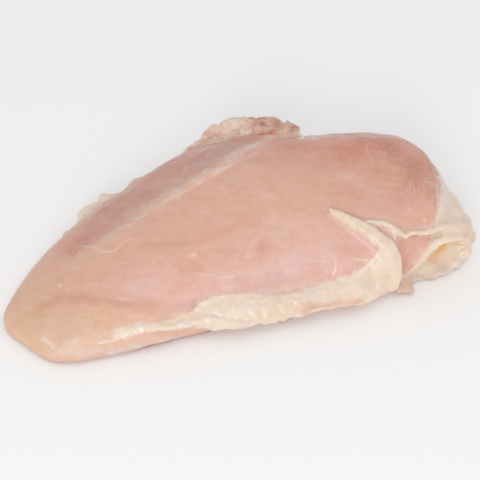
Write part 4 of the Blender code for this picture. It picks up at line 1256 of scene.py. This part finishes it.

    # Stains, films and threads over both, with painted shade in the shoulder pocket and painted highlights
    broken = ramp(tree, small, 0.32, 0.6, 0.5, 1.1)
    colour = over(colour, times(mark("grey"), ramp(tree, small, 0.3, 0.55, 0.8, 1.0)), "grey")
    for name in ("ivory", "stain", "blush", "amberShade", "brown"):
        colour = over(colour, times(mark(name), broken), name)
    frayed = ramp(tree, maths(tree, "ADD", times(streaks, 0.5), small), 0.55, 0.95, 0.3, 1.15)
    # films, and the painted highlight along the fold's ridge
    colour = over(colour, times(mark("filmAndSheen"), frayed), "filmAndSheen", flesh["filmShare"])
    # threads, and the painted highlight strokes and flecks among them
    colour = over(colour, times(mark("threadAndGlint"), ramp(tree, fine, 0.25, 0.6, 0.5, 1.05)), "threadAndGlint")
    # painted highlight: white laid on the wet beads
    colour = over(colour, mark("beadAndGlint"), "beadAndGlint", beads["paintedGlint"])

    # Lowest edge, and the underside's own redder flesh
    low = times(ramp(tree, maths(tree, "ADD", height, small), underside["height"] + 1.6, 1.4),
                above, ramp(tree, cover, 0, 1, 1.0, 0.3), ramp(tree, along, -74, -56, 0.25, 1.0))
    colour = mixColour(tree, times(low, underside["lilacShare"]), colour, linear(underside["lilac"]))
    atFront = times(ramp(tree, along, -56, -44), ramp(tree, along, 8, -4), ramp(tree, across, -36, -44))
    line = times(ramp(tree, maths(tree, "SUBTRACT", height, times(atFront, 1.4)), 1.5, 0.5), above,
                 ramp(tree, small, 0.3, 0.6, 0.5, 1.0))
    colour = mixColour(tree, times(line, underside["redShare"]), colour, linear(underside["red"]))
    bare = times(below, ramp(tree, streaks, 0.1, 0.9, 0.3, 0.5), ramp(tree, cover, 0.7, 0))
    colour = mixColour(tree, bare, colour, linear(underside["lean"]))

    # Wetness and fine grain
    wet = maths(tree, "MAXIMUM", mark("wet"), mark("beadAndGlint"))
    rough = maths(tree, "ADD", ramp(tree, cover, 0, 1, flesh["roughness"], fat["roughness"]),
                  times(maths(tree, "SUBTRACT", small, 0.5), 0.3))
    rough = add(tree, "ShaderNodeMix", {0: wet, 2: rough, 3: flesh["wetRoughness"]}).outputs[0]
    rough = maths(tree, "ADD", rough, times(mark("dry"), flesh["dryness"]))
    coat = ramp(tree, mark("dry"), 0, 1, flesh["coat"], flesh["dryCoat"])
    leanGrain = times(maths(tree, "ADD", times(streaks, 0.2), times(wisps, 0.3)), ramp(tree, cover, 1, 0))
    grain = maths(tree, "ADD", leanGrain, times(fine, 0.5))
    bump = add(tree, "ShaderNodeBump", {"Strength": 0.6, "Distance": flesh["bump"], "Height": grain})
    shader = add(tree, "ShaderNodeBsdfPrincipled", {
        "Base Color": colour, "Roughness": rough, "Subsurface Weight": flesh["scatter"],
        "Subsurface Scale": flesh["scatterDepth"], "Coat Weight": coat,
        "Coat Roughness": flesh["coatRoughness"], "Normal": bump.outputs[0]})
    shader.inputs["Subsurface Radius"].default_value = (1.0, 0.42, 0.28)
    add(tree, "ShaderNodeOutputMaterial", {"Surface": shader.outputs[0]})
    return material


breast.data.materials.clear()
breast.data.materials.append(fleshMaterial())
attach(breast, "root")
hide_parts(skin["node"])
print("flesh finished")


# Camera, light and floor

camera = {"azimuth": -17, "elevation": 40, "lens": 85, "sensor": 36, "distance": 460, "target": (0, 0, 18)}
lights = (
    # name, azimuth, elevation, distance in metres, size in metres, power, colour
    ("keyLight", -24, 24, 1.1, 0.4, 3.4, (1.0, 0.99, 0.97)),
    ("fillLight", 50, 65, 1.2, 1.0, 0.9, (0.98, 0.99, 1.0)),
)
stageLook = {"floor": (250, 250, 250), "glow": 0.05, "world": (1, 1, 1, 1), "ambient": 0.72}


def direction(azimuth, elevation):
    a, e = math.radians(azimuth), math.radians(elevation)
    return Vector((math.sin(a) * math.cos(e), -math.cos(a) * math.cos(e), math.sin(e)))


def aim(obj, place, towards):
    obj.location = place
    obj.rotation_mode = "QUATERNION"
    obj.rotation_quaternion = (towards - place).to_track_quat("-Z", "Y")


def setStage():
    eye = bpy.data.objects.new("camera", bpy.data.cameras.new("camera"))
    eye.data.lens, eye.data.sensor_width = camera["lens"], camera["sensor"]
    eye.data.clip_start, eye.data.clip_end = 0.01, 20
    target = toFrame(camera["target"])
    away = direction(camera["azimuth"], camera["elevation"]) * camera["distance"] * drawnMm
    aim(eye, target + away, target)
    scene.collection.objects.link(eye)
    scene.camera = eye
    for name, azimuth, elevation, distance, size, power, colour in lights:
        lamp = bpy.data.objects.new(name, bpy.data.lights.new(name, "AREA"))
        lamp.data.shape, lamp.data.size, lamp.data.energy, lamp.data.color = "DISK", size, power, colour
        aim(lamp, direction(azimuth, elevation) * distance, Vector((0, 0, 0)))
        scene.collection.objects.link(lamp)
    bm = bmesh.new()
    bmesh.ops.create_grid(bm, x_segments=1, y_segments=1, size=3)
    floor = meshObject("floor", bm)
    floor.location.z = -0.0001
    pale = bpy.data.materials.new("paleFloor")
    pale.use_nodes = True
    shader = pale.node_tree.nodes["Principled BSDF"]
    for socket, value in (("Base Color", linear(stageLook["floor"])), ("Roughness", 0.7),
                          ("Emission Color", (1, 1, 1, 1)), ("Emission Strength", stageLook["glow"])):
        shader.inputs[socket].default_value = value
    floor.data.materials.append(pale)
    world = bpy.data.worlds.new("studio")
    world.use_nodes = True
    background = world.node_tree.nodes["Background"]
    background.inputs["Color"].default_value = stageLook["world"]
    background.inputs["Strength"].default_value = stageLook["ambient"]
    scene.world = world
    scene.view_settings.view_transform = "Standard"


setStage()
print("stage set")
